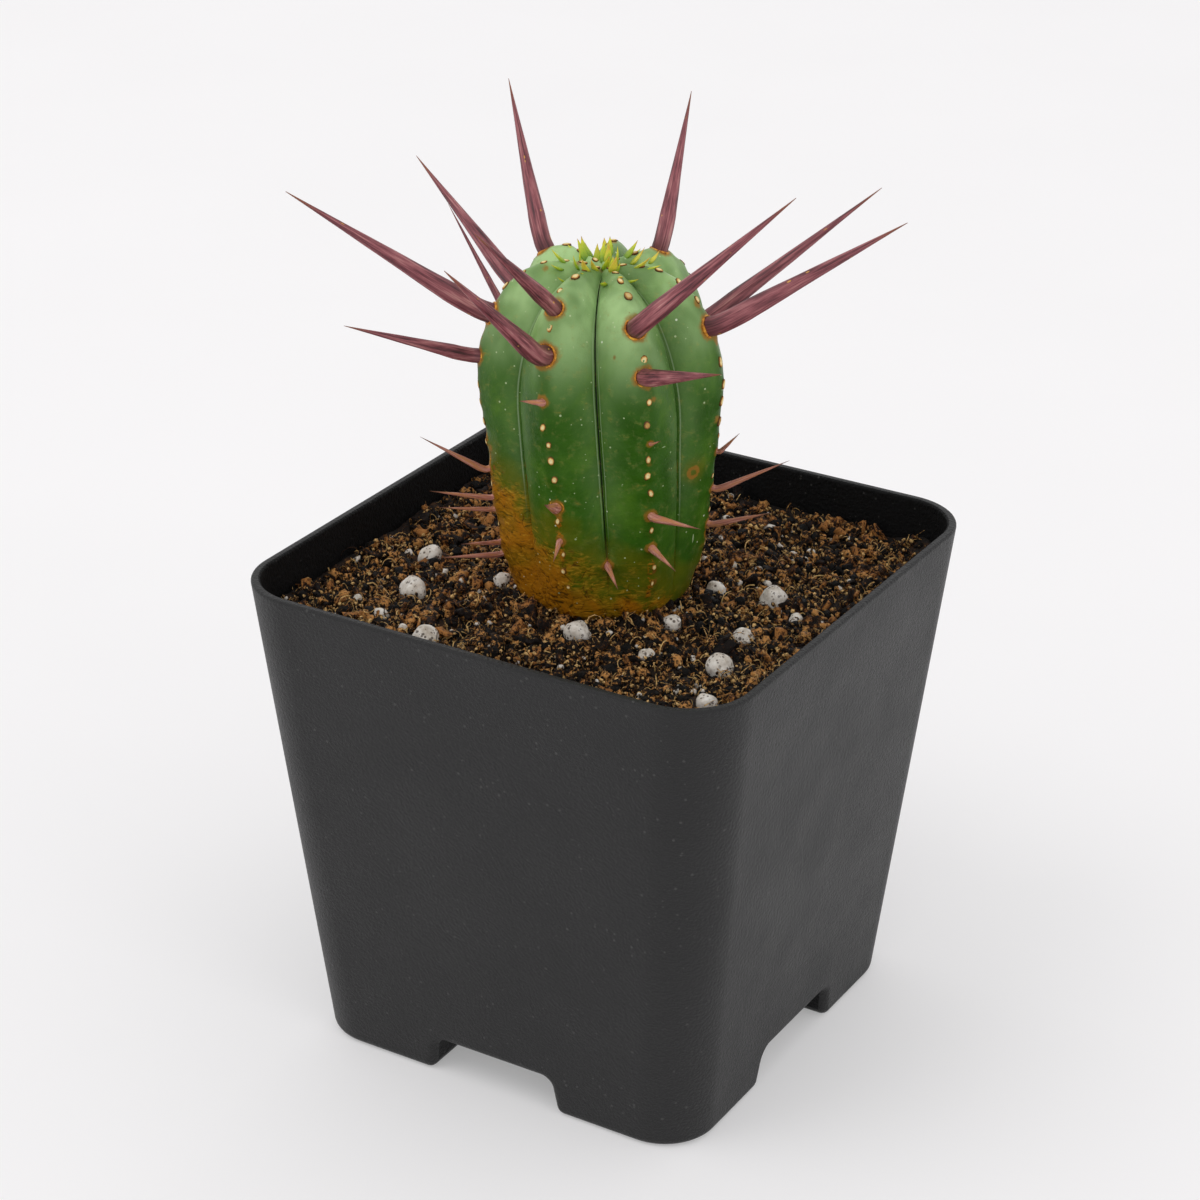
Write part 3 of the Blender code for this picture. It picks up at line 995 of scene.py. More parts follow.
def corked(body, furrowShade, corkMask, oliveMask, lines, point):
    # corky foot with an olive edge and dark cracks, and painted shade down the furrows over it
    barky = ((0.32, "corkDarkAndShade"), (0.46, "cork"), (0.60, "cork"), (0.74, "corkPale"))
    mossy = ((0.32, "deep"), (0.48, "olive"), (0.74, "corkPale"))
    barky, mossy = (ramp(lines, *((at, skin[key]) for at, key in stops)) for stops in (barky, mossy))
    body = blendColour(oliveMask, body, mossy, 0.88)
    body = blendColour(corkMask, body, barky)
    wander = maths("ABSOLUTE", minus(noiseOf(point, *skin["cracks"]), 0.5))
    body = blendColour(times(between(wander, 0.014, 0.002), oliveMask), body, skin["corkDarkAndShade"], 0.8)
    # painted shade: the furrows darkened over the olive edge and the cork
    return blendColour(times(furrowShade, times(oliveMask, 0.85)), body, skin["corkDarkAndShade"])


def marked(body, fine, point):
    # tan scars beside the cushions, then scabs, dots and scratches
    scarMask = between(frayed(reading("scar"), fine, 0.8), 0.35, 0.75)
    body = blendColour(scarMask, body, skin["scar"], 0.8)
    turned = put("ShaderNodeMapping", Vector=point, Rotation=(0.5, 0.9, 0.3), Scale=(1.0, 1.0, 0.14))
    crossed = put("ShaderNodeMapping", Vector=point, Rotation=(1.4, 0.2, 1.1), Scale=(1.0, 0.12, 1.0))
    places = (stretched(point, 0.7), point, point, turned.outputs[0], crossed.outputs[0])
    for place, (scale, size, share, strength, colour) in zip(places, skin["marks"].values()):
        body = blendColour(specks(place, scale, size, share), body, colour, strength)
    return body


def stemSkin():
    finish, shader = newFinish("glaucousSkin", Specular_IOR_Level=0.11)
    point = objectPoint()
    side = maths("ABSOLUTE", reading("ribSide"))
    rise = reading("rise")
    cloud = noiseOf(point, *skin["clouds"])
    fine = noiseOf(point, *skin["fine"])
    green = ramp(cloud, (0.32, skin["deep"]), (0.50, skin["green"]), (0.72, skin["fresh"]))
    body = paintWaxAndSheen(green, fine, side, rise, point)
    # rubbed off the crests, and a little everywhere below the shoulders
    rubbed = maths("MAXIMUM", between(side, *skin["rubbedCrest"]), skin["rubbedLeast"])
    rubbed = times(rubbed, between(rise, *skin["rubbedRise"]), between(cloud, *skin["rubbedCloud"]))
    body = blendColour(rubbed, body, skin["deep"])
    # painted highlight: a pale line along the edge beside the furrow
    nearEdge, farEdge = skin["edgeHighlightBand"]
    edge = times(between(side, *nearEdge), between(side, *farEdge), between(rise, *skin["edgeHighlightRise"]))
    body = blendColour(edge, body, skin["edgeHighlight"], skin["edgeHighlightStrength"])
    # painted shade: the furrow darkened to nearly black, fading at the foot and near the top
    furrowShadeEdge = timesPlus(fine, 0.012, skin["furrowShadeFrom"])
    furrowShade = between(side, furrowShadeEdge, plus(furrowShadeEdge, skin["furrowShadeSoft"]))
    furrowShade = times(furrowShade, between(rise, *skin["furrowShadeFoot"]), between(rise, *skin["furrowShadeTop"]))
    body = blendColour(furrowShade, body, skin["furrow"], 0.94)
    ageing = frayed(reading("ageing"), cloud, 0.9)
    body = blendColour(between(ageing, 0.30, 1.1, 0.0, 0.62), body, skin["olive"])
    ragged = frayed(reading("cork"), fine, 0.8)
    corkMask = times(
        between(ragged, 0.20, 0.80), between(noiseOf(point, *skin["warm"]), 0.36, 0.54, 0.32, 1.0)
    )
    crestCork = times(between(side, 0.11, 0.03), between(ageing, 0.10, 0.50), between(fine, 0.46, 0.54))
    corkMask = maths("MAXIMUM", corkMask, times(crestCork, 0.9))
    lines = noiseOf(stretched(point, 3.2), *skin["bark"])
    body = corked(body, furrowShade, corkMask, between(ragged, 0.0, 0.50), lines, point)
    wire(shader, Base_Color=marked(body, fine, point))
    wire(shader, Roughness=between(timesPlus(corkMask, 0.5, fine), 0.3, 1.2, 0.38, 0.66))
    bump(shader, timesPlus(times(lines, corkMask), 2.4, grain(point, skin["grain"])), skin["bump"])
    return finish


def buildStem():
    points, side, rise, turn = stemPoints()
    top = Vector((stem["x"], stem["y"], stemRows[0][1]))
    bottom = Vector((stem["x"], stem["y"], stemRows[-1][1]))
    mesh = ringMesh("stemBody", points, tuple(top), tuple(bottom))
    flat = points.reshape(-1, 3)
    degrees, heights = zip(*stem["corkEdge"])
    edge = np.interp((np.degrees(turn).ravel() + 195) % 360 - 195, degrees, heights)
    raggedScale, raggedHeight = stem["corkRagged"]
    ragged = np.array([noise.fractal(Vector(p) * raggedScale, 1.0, 2.0, 3) for p in flat])
    underEdge = (edge + raggedHeight * ragged) - (flat[:, 2] - soilLevel) / mm
    cork = smoothStep(underEdge, -2.0, 7.0)
    ageing = smoothStep(underEdge, -9.0, 1.0)
    knobs = np.zeros(len(flat))
    scar = np.zeros(len(flat))
    pick = random.Random(stem["seed"])
    for spot, _, _ in areoleList:
        away = np.linalg.norm(flat - np.array(spot), axis=1) / mm
        knobs += stem["cushionKnob"] * np.exp(-(away ** 2))
        if pick.random() < stem["scarShare"]:
            way = np.array([pick.uniform(-1, 1), pick.uniform(-1, 1), pick.uniform(-0.9, 0.9)])
            middle = np.array(spot) + way * stem["scarShift"] * mm
            around = np.linalg.norm(flat - middle, axis=1) / mm
            scar += pick.uniform(0.5, 1.0) * np.exp(-(around / pick.uniform(0.45, 0.9)) ** 2)
    for group, reach in stem["knobReach"].items():
        for row in spines[group].values():
            base = np.array(spineRoute(*row)[0][0])
            away = np.linalg.norm(flat - base, axis=1) / mm
            knobs += stem["spineKnob"] * np.exp(-(away / reach) ** 2)
            scar += 0.9 * np.exp(-(away / (0.62 * row[5] + 0.35)) ** 4)
    rib, height, size = stem["halo"]
    middle = min(
        (point for _, point, _ in crestLine(rib)),
        key=lambda p: abs(p.z - soilLevel - height * stem["height"]),
    )
    away = np.linalg.norm(flat - np.array(middle), axis=1) / mm
    scar += np.exp(-((away - 0.55 * size) / 0.30) ** 2)
    ageing += np.exp(-(away / (2.1 * size)) ** 2)
    for name, values, first, last in (
        ("ribSide", side, 0, 0),
        ("rise", rise, 0.945, -0.2),
        ("cork", cork, 0, 1),
        ("ageing", ageing, 0, 1),
        ("knobs", knobs, 0, 0),
        ("scar", scar, 0, 0),
    ):
        addAttribute(mesh, name, withPoles(np.asarray(values), first, last))
    body = addPiece("stemBody", mesh)
    tree = stemReliefTree()
    depths = {"Furrow Depth": stem["furrowDepth"], "Wrinkle Depth": stem["wrinkleDepth"]}
    applyTree(body, tree, {**depths, "Finish": stemSkin()})
    settle(body, "stem", "stem")


buildStem()
print("stem is built")


# shapes set on points: areole cushions, spine collars, young leaves

def shapesIn(group):
    return put(
        "GeometryNodeCollectionInfo", Collection=group, Separate_Children=True, Reset_Children=True
    ).outputs[0]


def setOnPointsTree():
    start, end = newShapeTree("setOnPoints", Shapes="Collection", Seed="Int", Finish="Material")
    points = put("GeometryNodeMeshToPoints", Mesh=start.outputs["Geometry"])
    copies = put(
        "GeometryNodeInstanceOnPoints",
        Points=points.outputs[0],
        Instance=shapesIn(start.outputs["Shapes"]),
        Pick_Instance=True,
        Instance_Index=named("shape", "INT"),
        Rotation=named("turn", "FLOAT_VECTOR"),
        Scale=named("size", "FLOAT_VECTOR"),
    )
    tinted = stored(copies.outputs[0], "tint", chance(start.outputs["Seed"]), domain="INSTANCE")
    return finishTree(start, end, tinted)


onPoints = setOnPointsTree()


def shapeCollection(name, meshes):
    group = bpy.data.collections.new(name)
    for i, mesh in enumerate(meshes):
        group.objects.link(bpy.data.objects.new(f"{name}{i}", mesh))
    return group


def dropCollection(group):
    discard(*group.objects)
    bpy.data.collections.remove(group)


def setShapes(name, spots, meshes, finish, seed):
    # spots: point, turned frame, size along each side, index of the shape
    mesh = plainMesh(name, [tuple(spot[0]) for spot in spots])
    addAttribute(mesh, "turn", [tuple(spot[1].to_euler()) for spot in spots], "FLOAT_VECTOR")
    addAttribute(mesh, "size", [tuple(spot[2]) for spot in spots], "FLOAT_VECTOR")
    layer = mesh.attributes.new("shape", "INT", "POINT")
    layer.data.foreach_set("value", [spot[3] for spot in spots])
    piece = addPiece(name, mesh)
    group = shapeCollection(name, meshes)
    applyTree(piece, onPoints, {"Shapes": group, "Seed": seed, "Finish": finish})
    dropCollection(group)
    return piece


def frameOn(square, upwards=Vector((0, 0, 1))):
    # z square to the skin, y as near upwards as it can be
    x = upwards.cross(square)
    x = x.normalized() if x.length > 1e-6 else Vector((1, 0, 0))
    return Matrix((x, square.cross(x), square)).transposed()


cushion = {
    "wide": 0.68,  # mm, at the upper half of the stem
    "tall": 1.06,
    "proud": 0.20,
    "sides": 14,
    "smallFrom": 0.965,  # of the stem's height
    "kinds": 4,
    "lift": 0.20,  # mm
    "tilt": 22,  # degrees either way
    "seed": 29,
    "pale": (
        (0.0, (0.84, 0.76, 0.46)),
        (0.52, (0.80, 0.62, 0.26)),
        (0.78, (0.46, 0.20, 0.025)),
        (0.95, (0.085, 0.034, 0.006)),
    ),
    "brown": ((0.0, (0.46, 0.28, 0.10)), (0.5, (0.52, 0.29, 0.07)), (0.95, (0.09, 0.035, 0.010))),
    "brownFrom": (0.84, 0.94),  # of the cushions' own tints
    "felt": (2600.0, 3.0, 0.6),
    "bump": 0.05 * mm,
}


def cushionShape(seed):
    # low dome with a raised rim and a dimple, one unit wide
    pick = random.Random(seed)
    rings = []
    reach = []
    for radius, height in (
        (0.60, -0.35), (0.60, 0.10), (0.52, 0.26), (0.42, 0.30), (0.30, 0.40), (0.14, 0.34)
    ):
        ring = []
        for i in range(cushion["sides"]):
            turn = 2 * math.pi * i / cushion["sides"]
            wobble = 1 + 0.13 * math.sin(2 * turn + seed) + 0.09 * pick.uniform(-1, 1)
            ring.append(
                (
                    radius * wobble * math.cos(turn),
                    radius * wobble * math.sin(turn),
                    height + 0.03 * pick.uniform(-1, 1),
                )
            )
        rings.append(ring)
        reach += [radius / 0.6] * cushion["sides"]
    mesh = ringMesh("cushion", np.array(rings), (0, 0, -0.35), (0, 0, 0.30))
    addAttribute(mesh, "reach", [0, *reach, 0])
    return mesh


def areoleFelt():
    finish, shader = newFinish("areoleFelt", Roughness=0.7, Specular_IOR_Level=0.3)
    fine = noiseOf(objectPoint(), *cushion["felt"])
    place = frayed(reading("reach"), fine, 0.5)
    pale, brown = (ramp(place, *cushion[key]) for key in ("pale", "brown"))
    wire(shader, Base_Color=blendColour(between(reading("tint"), *cushion["brownFrom"]), pale, brown))
    bump(shader, fine, cushion["bump"])
    return finish


def buildAreoles():
    pick = random.Random(cushion["seed"])
    spots = []
    for spot, square, height in areoleList:
        size = (0.60 + 0.36 * min(height / 0.75, 1)) * pick.uniform(0.72, 1.08)
        if height > cushion["smallFrom"]:
            size *= 0.5
        sides = Vector((cushion["wide"], cushion["tall"], cushion["proud"] * 2.2)) * size * mm
        spin = Matrix.Rotation(math.radians(pick.uniform(-cushion["tilt"], cushion["tilt"])), 3, "Z")
        place = spot + square * cushion["lift"] * mm
        spots.append((place, frameOn(square) @ spin, sides, pick.randrange(cushion["kinds"])))
    shapes = [cushionShape(i) for i in range(cushion["kinds"])]
    piece = setShapes("areoleCushions", spots, shapes, areoleFelt(), 3)
    settle(piece, "stem")


buildAreoles()


collar = {
    "sides": 22,
    "round": 7,
    "thick": 0.050,  # of the spine's thickness
    "radius": 0.475,
    "grow": {"long": 1.06, "short": 1.2},  # of the spine's thickness
    "sink": 0.26,  # mm
    "cork": ((0.30, (0.130, 0.040, 0.003)), (0.50, (0.52, 0.190, 0.008)), (0.70, (0.86, 0.46, 0.05))),
    "clouds": (1900.0, 3.0, 0.6),
    "grain": 2400.0,
    "bump": 0.05 * mm,
}


def collarShape(seed):
    # uneven ring round a spine's foot, one unit wide
    pick = random.Random(seed)
    points = []
    faces = []
    lean = [pick.uniform(0.75, 1.25) for _ in range(collar["sides"])]
    for i in range(collar["sides"]):
        turn = 2 * math.pi * i / collar["sides"]
        fat = collar["thick"] * (0.5 * lean[i] + 0.25 * lean[i - 1] + 0.25 * lean[(i + 1) % collar["sides"]])
        for j in range(collar["round"]):
            roll = 2 * math.pi * j / collar["round"]
            radius = collar["radius"] + fat * math.cos(roll)
            points.append((radius * math.cos(turn), radius * math.sin(turn), 1.5 * fat * math.sin(roll)))
            a, b = i * collar["round"], (i + 1) % collar["sides"] * collar["round"]
            k = (j + 1) % collar["round"]
            faces.append((a + j, b + j, b + k, a + k))
    mesh = plainMesh("collar", points, faces=faces)
    mesh.validate()
    return mesh


def collarCork():
    finish, shader = newFinish("spineCollarCork", Roughness=0.5, Specular_IOR_Level=0.4)
    point = objectPoint()
    wire(shader, Base_Color=ramp(noiseOf(point, *collar["clouds"]), *collar["cork"]))
    bump(shader, grain(point, collar["grain"]), collar["bump"])
    return finish


def buildCollars():
    spots = []
    for group in ("long", "short"):
        for k, row in enumerate(spines[group].values()):
            points, square = spineRoute(*row)
            width = row[5] * mm * collar["grow"][group]
            spots.append(
                (
                    points[0] - square * collar["sink"] * mm,
                    frameOn(square),
                    Vector((width, width, width)),
                    k % 3,
                )
            )
    piece = setShapes("spineCollars", spots, [collarShape(i) for i in range(3)], collarCork(), 8)
    settle(piece, "stem")


buildCollars()
print("areoles and collars are set")


# spines: a tube grown along each route, grooved lengthwise

spineLook = {
    "sink": 0.9 * mm,  # how far the foot goes into the skin
    "routeSteps": 44,
    "longSides": 26,
    "shortSides": 16,
    "thickShare": 0.22,
    "tipShare": 0.03,
    "longGroove": 0.10 * mm,
    "shortGroove": 0.07 * mm,
    "swell": (0.12, 0.03, 0.92, 0.94),
    "grooves": (3.4, 3.0, 0.6),  # noise: scale, detail, roughness
    "lumps": (1.1, 2.0),
}


def growSpineTree():
    start, end = newShapeTree(
        "growSpine",
        Thickness="Float",
        Thick_Share="Float",
        Tip_Share="Float",
        Groove_Depth="Float",
        Sides="Int",
        Seed="Float",
        Finish="Material",
    )
    given = start.outputs
    route = put("GeometryNodeMeshToCurve", Mesh=given["Geometry"]).outputs[0]
    route = stored(route, "along", put("GeometryNodeSplineParameter").outputs["Factor"])
    ring = put("GeometryNodeCurvePrimitiveCircle", Resolution=given["Sides"], Radius=1.0).outputs[0]
    ring = stored(ring, "around", put("GeometryNodeSplineParameter").outputs["Factor"])
    along = named("along")
    taper = put("ShaderNodeMapRange", {"clamp": True})
    feedAll(taper, along, given["Thick Share"], 1.0, 1.0, given["Tip Share"])
    swell = between(along, *spineLook["swell"])
    girth = times(taper.outputs[0], swell, times(given["Thickness"], 0.5))
    tube = put(
        "GeometryNodeCurveToMesh", Curve=route, Profile_Curve=ring, Scale=girth, Fill_Caps=True
    ).outputs[0]
    # a point that runs round and along the spine, for the grooves here and the streaks in the finish
    angle = times(named("around"), 2 * math.pi)
    lengthwise = plus(times(along, 3.2), given["Seed"])
    turned = put("ShaderNodeCombineXYZ", X=maths("COSINE", angle), Y=maths("SINE", angle), Z=lengthwise)
    tube = stored(tube, "fibre", turned.outputs[0], "FLOAT_VECTOR")
    fibre = named("fibre", "FLOAT_VECTOR")
    grooves = minus(noiseOf(stretched(fibre, 0.22), *spineLook["grooves"]), 0.5)
    lumps = minus(noiseOf(fibre, *spineLook["lumps"]), 0.5)
    depth = times(minus(timesPlus(lumps, 0.7, grooves), 0.2), given["Groove Depth"])
    depth = times(depth, times(taper.outputs[0], 2.0))
    return finishTree(start, end, movedOut(tube, depth))


growSpine = growSpineTree()


horn = {
    # colours by the streaks' noise
    "long": (
        (0.42, (0.034, 0.007, 0.011)),
        (0.53, (0.155, 0.034, 0.044)),
        (0.63, (0.310, 0.092, 0.104)),
        (0.76, (0.50, 0.24, 0.22)),
    ),
    "longTip": (0.26, 0.085, 0.030),
    "longFoot": (0.060, 0.017, 0.020),
    "longStreak": (4.6, 4.0, 0.62),
    "longCloud": (1.5, 3.0, 0.6),
    "longBump": 0.07 * mm,
    "nick": (0.66, 0.33, 0.07),
    "nicks": (1.7, 0.26, 0.12),  # specks: scale, size, share
    "scrape": (0.46, 0.25, 0.20),
    "scrapes": (4.6, 0.14, 0.10),
    "short": ((0.32, (0.210, 0.060, 0.045)), (0.50, (0.480, 0.185, 0.140)), (0.70, (0.700, 0.400, 0.310))),
    "shortTip": (0.145, 0.055, 0.028),
    "shortTan": (0.50, 0.205, 0.085),
    "shortStreak": (3.0, 4.0, 0.6),
    "shortCloud": (0.9, 3.0),
    "shortBump": 0.06 * mm,
}


def longHorn():
    finish, shader = newFinish("mauveSpineHorn", Specular_IOR_Level=0.45)
    fibre = reading("fibre", "Vector")
    along = reading("along")
    streak = noiseOf(stretched(fibre, 0.14), *horn["longStreak"])
    cloud = noiseOf(stretched(fibre, 1.1), *horn["longCloud"])
    body = ramp(timesPlus(cloud, 0.6, times(streak, 0.55)), *horn["long"])
    body = blendColour(between(frayed(along, cloud, 0.25), 0.80, 0.98), body, horn["longTip"], 0.8)
    body = blendColour(between(along, 0.14, 0.01, 0.0, 0.6), body, horn["longFoot"])
    nicks = specks(stretched(fibre, 4.2), *horn["nicks"])
    body = blendColour(nicks, body, horn["nick"], 0.9)
    body = blendColour(specks(stretched(fibre, 0.35), *horn["scrapes"]), body, horn["scrape"], 0.6)
    wire(shader, Base_Color=body)
    wire(shader, Roughness=between(streak, 0.3, 0.7, 0.42, 0.60))
    bump(shader, timesPlus(nicks, -0.8, streak), horn["longBump"])
    return finish


def shortHorn():
    finish, shader = newFinish("pinkSpineHorn", Specular_IOR_Level=0.4)
    fibre = reading("fibre", "Vector")
    streak = noiseOf(stretched(fibre, 0.35), *horn["shortStreak"])
    cloud = noiseOf(fibre, *horn["shortCloud"])
    body = blendColour(between(cloud, 0.44, 0.62), ramp(streak, *horn["short"]), horn["shortTan"])
    body = blendColour(
        between(frayed(reading("along"), cloud, 0.3), 0.72, 0.95), body, horn["shortTip"], 0.85
    )
    wire(shader, Base_Color=body)
    wire(shader, Roughness=between(streak, 0.3, 0.7, 0.45, 0.62))
    bump(shader, streak, horn["shortBump"])
    return finish


def routeMesh(name, points, square):
    start = points[0] - square * spineLook["sink"]
    rows = [tuple(start), *(tuple(p) for p in points)]
    count = spineLook["routeSteps"]
    line = [smoothRow(rows, (len(rows) - 1) * i / count) for i in range(count + 1)]
    return plainMesh(name, line, edges=[(i, i + 1) for i in range(count)])


def buildSpines():
    finishes = {"long": longHorn(), "short": shortHorn()}
    for group, finish in finishes.items():
        for k, (letter, row) in enumerate(spines[group].items()):
            points, square = spineRoute(*row)
            name = f"{group}Spine_{letter}"
            piece = addPiece(name, routeMesh(name, points, square))
            values = {
                "Thickness": row[5] * mm,
                "Thick Share": spineLook["thickShare"],
                "Tip Share": spineLook["tipShare"],
                "Groove Depth": spineLook[f"{group}Groove"],
                "Sides": spineLook[f"{group}Sides"],
                "Seed": 7.3 * k,
                "Finish": finish,
            }
            applyTree(piece, growSpine, values)
            settle(piece, f"{group}_spine", f"{group}_spine_{letter}")


buildSpines()
print("spines are grown")


# young leaves round the growing point

leaves = {
    # rib, place on the outline in rows, lift in degrees
    "cad": {
        "a": (0, 0.9, 50),
        "b": (1, 1.1, 30),
        "c": (2, 0.8, 40),
        "d": (3, 0.7, 35),
        "e": (4, 0.8, 40),
        "f": (5, 1.2, 35),
        "g": (6, 1.0, 40),
    },
    "length": 2.6,
    "seed": 17,
    "fresh": (
        (0.0, (0.10, 0.24, 0.020)),
        (0.40, (0.33, 0.47, 0.020)),
        (0.80, (0.66, 0.66, 0.035)),
        (0.98, (0.52, 0.30, 0.03)),
    ),
    "yellow": ((0.0, (0.24, 0.34, 0.020)), (0.45, (0.72, 0.66, 0.06)), (0.92, (0.66, 0.40, 0.05))),
    "yellowFrom": (0.55, 0.75),  # of the leaves' own tints
    "bump": 0.04 * mm,
    "sink": 0.1 * mm,
    # how many more, and between what: place in rows, lift in degrees, length in millimetres
    "crowded": (16, (0.15, 1.0), (35, 78), (1.5, 2.7)),
    "loose": (16, (1.1, 1.9), (4, 30), (1.3, 2.4)),
    "sides": 8,
}


def leafShape(seed):
    # pointed blade with a keel, one unit long along z
    pick = random.Random(seed)
    lean = pick.uniform(-0.10, 0.10)
    rings = []
    reach = []
    stations = (
        (0.0, 0.10, 0.07),
        (0.10, 0.15, 0.09),
        (0.26, 0.175, 0.09),
        (0.45, 0.15, 0.07),
        (0.65, 0.10, 0.05),
        (0.83, 0.045, 0.025),
    )
    for along, wide, thick in stations:
        ring = []
        for i in range(leaves["sides"]):
            turn = 2 * math.pi * i / leaves["sides"]
            x = wide * math.cos(turn) + lean * along ** 2
            y = thick * math.sin(turn) * (1.25 if math.sin(turn) < 0 else 0.55) + 0.16 * along ** 2
            ring.append((x, y, along))
        rings.append(ring)
        reach += [along] * leaves["sides"]
    mesh = ringMesh("blade", np.array(rings), (0, 0, -0.02), (lean, 0.16, 1.0))
    addAttribute(mesh, "reach", [0, *reach, 1])
    return mesh


def leafBlade():
    finish, shader = newFinish("youngLeafBlade", Roughness=0.42, Specular_IOR_Level=0.4)
    fine = noiseOf(objectPoint(), 1500.0, 3.0)
    place = frayed(reading("reach"), fine, 0.5)
    fresh, yellow = (ramp(place, *leaves[key]) for key in ("fresh", "yellow"))
    wire(shader, Base_Color=blendColour(between(reading("tint"), *leaves["yellowFrom"]), fresh, yellow))
    bump(shader, fine, leaves["bump"])
    return finish


def buildLeaves():
    pick = random.Random(leaves["seed"])
    spots = []
    rows = [(*row, leaves["length"]) for row in leaves["cad"].values()]
    for group in ("crowded", "loose"):  # in the middle, and lying on the shoulders
        count, *ranges = leaves[group]
        for i in range(count):
            rib = i * stem["ribs"] / count + pick.uniform(-0.2, 0.2)
            rows.append((rib, *(pick.uniform(*ends) for ends in ranges)))
    for rib, place, lift, length in rows:
        spot, _ = onSkin(place, rib, -leaves["sink"])
        turn = ribTurn(rib, spot.z) + math.radians(pick.uniform(-16, 16))
        stand = direction(turn, math.radians(lift))
        size = Vector((1.15, 1.15, 1.0)) * length * mm
        spots.append((spot, frameOn(stand, Vector((0, 0, 1))), size, pick.randrange(3)))
    piece = setShapes("youngLeaves", spots, [leafShape(i) for i in range(3)], leafBlade(), 21)
    settle(piece, "leaf", *(f"leaf_{letter}" for letter in leaves["cad"]))


buildLeaves()
print("young leaves are set")


# potting mix: a lumpy bed with crumbs, fines, bark flakes and fibres over it

bed = {
    "cells": 176,
    "bump": 0.35 * mm,
    "pitch": 12 * mm,
    "collarHeight": 0.8 * mm,
    "collarReach": 5 * mm,
    "lumps": ((210.0, 0.42), (520.0, 0.26), (1150.0, 0.14)),  # scale, millimetres
    "wallRise": 0.7 * mm,
    "wallReach": 2.2 * mm,
    "bottom": 6.4 * mm,
    "gap": 0.06 * mm,
    "clump": (620.0, 5.0, 0.7),
    "fleck": (1700.0, 3.0, 0.7),
    "peat": (
        (0.42, (0.002, 0.0014, 0.001)),
        (0.56, (0.010, 0.005, 0.0028)),
        (0.66, (0.055, 0.023, 0.008)),
        (0.78, (0.26, 0.125, 0.040)),
    ),
    "relief": 0.5 * mm,
    "clear": 1.2 * mm,  # how far loose pieces stay from the wall
    "brownPatches": 130,  # noise scale to the metre
    "driftWidth": 30 * mm,
    "leastBrown": 0.05,
}
# x, y, width in millimetres, share that is buried
grains = {
    "a": (-10.7, -22.3, 3.3, 0.40),
    "b": (3.3, -12.8, 3.1, 0.45),
    "c": (17.8, 6.6, 3.2, 0.35),
    "d": (19.1, -3.0, 2.6, 0.45),
    "e": (20.8, -11.2, 3.1, 0.40),
    "f": (23.6, -19.2, 2.5, 0.45),
    "g": (-18.7, -13.0, 3.2, 0.40),
    "h": (-22.3, -3.9, 2.9, 0.45),
    "i": (11.0, -5.0, 2.4, 0.35),
    "j": (11.0, 5.2, 2.4, 0.40),
    "k": (-12.0, 20.0, 3.0, 0.40),
    "l": (8.2, 23.7, 1.8, 0.45),
}
looseGrains = (
    (-18.6, -19.7, 2.0, 0.45),
    (-11.1, -5.7, 2.0, 0.30),
    (12.7, -13.4, 2.0, 0.40),
    (22.3, 3.8, 1.7, 0.40),
    (9.1, 12.9, 1.1, 0.30),
    (12.4, 13.0, 1.0, 0.30),
    (15.5, 18.6, 1.1, 0.30),
    (15.0, 21.2, 1.0, 0.30),
    (-23.0, -17.8, 1.0, 0.30),
    (-25.3, -4.1, 1.0, 0.30),
    (-14.4, -21.3, 1.0, 0.30),
    (-20.0, 14.0, 1.6, 0.35),
    (2.0, 24.0, 1.4, 0.35),
)
stemFoot = outline(foot).x


def cadSoil(x, y):
    wave = 2 * math.pi / bed["pitch"]
    ripple = math.sin(wave * x + 0.6) * math.cos(wave * y * 0.83) + 0.5 * math.sin(wave * (x + y) * 1.37)
    away = math.hypot(x - stem["x"], y - stem["y"]) - stemFoot
    mound = bed["collarHeight"] * math.exp(-max(away, 0) / bed["collarReach"])
    return soilLevel + bed["bump"] * ripple + mound


def bedGrid():
    # square grid pressed onto the round-cornered inside of the pot
    cells = bed["cells"]
    half = halfWidth(soilLevel) - pot["wall"] - bed["gap"]
    corner = (pot["corner"] - pot["wall"]) / half
    line = np.linspace(-1, 1, cells + 1)
    u, v = np.meshgrid(line, line, indexing="ij")
    most = np.maximum(np.maximum(np.abs(u), np.abs(v)), 1e-9)
    bx, by = np.abs(u) / most, np.abs(v) / most
    inner = 1 - corner
    a = np.maximum(bx * bx + by * by, 1e-9)
    b = -2 * inner * (bx + by)
    c = 2 * inner * inner - corner * corner
    onArc = (-b + np.sqrt(np.maximum(b * b - 4 * a * c, 0))) / (2 * a)
    reach = np.where((bx > inner) & (by > inner), np.minimum(onArc, 1), 1)
    return u * reach * half, v * reach * half, (1 - most) * half


def bedHeight(x, y, wallDistance):
    z = cadSoil(x, y)
    for k, (scale, height) in enumerate(bed["lumps"]):
        z += height * mm * noise.noise(Vector((x * scale, y * scale, 3.7 * k)))
    return z + bed["wallRise"] * math.exp(-wallDistance / bed["wallReach"])


def bedTop():
    x, y, wallDistance = bedGrid()
    z = np.vectorize(bedHeight)(x, y, wallDistance)
    return np.stack([x, y, z], axis=-1), wallDistance


def gridFaces(cells):
    side = cells + 1
    return [
        (i * side + j, (i + 1) * side + j, (i + 1) * side + j + 1, i * side + j + 1)
        for i in range(cells)
        for j in range(cells)
    ]


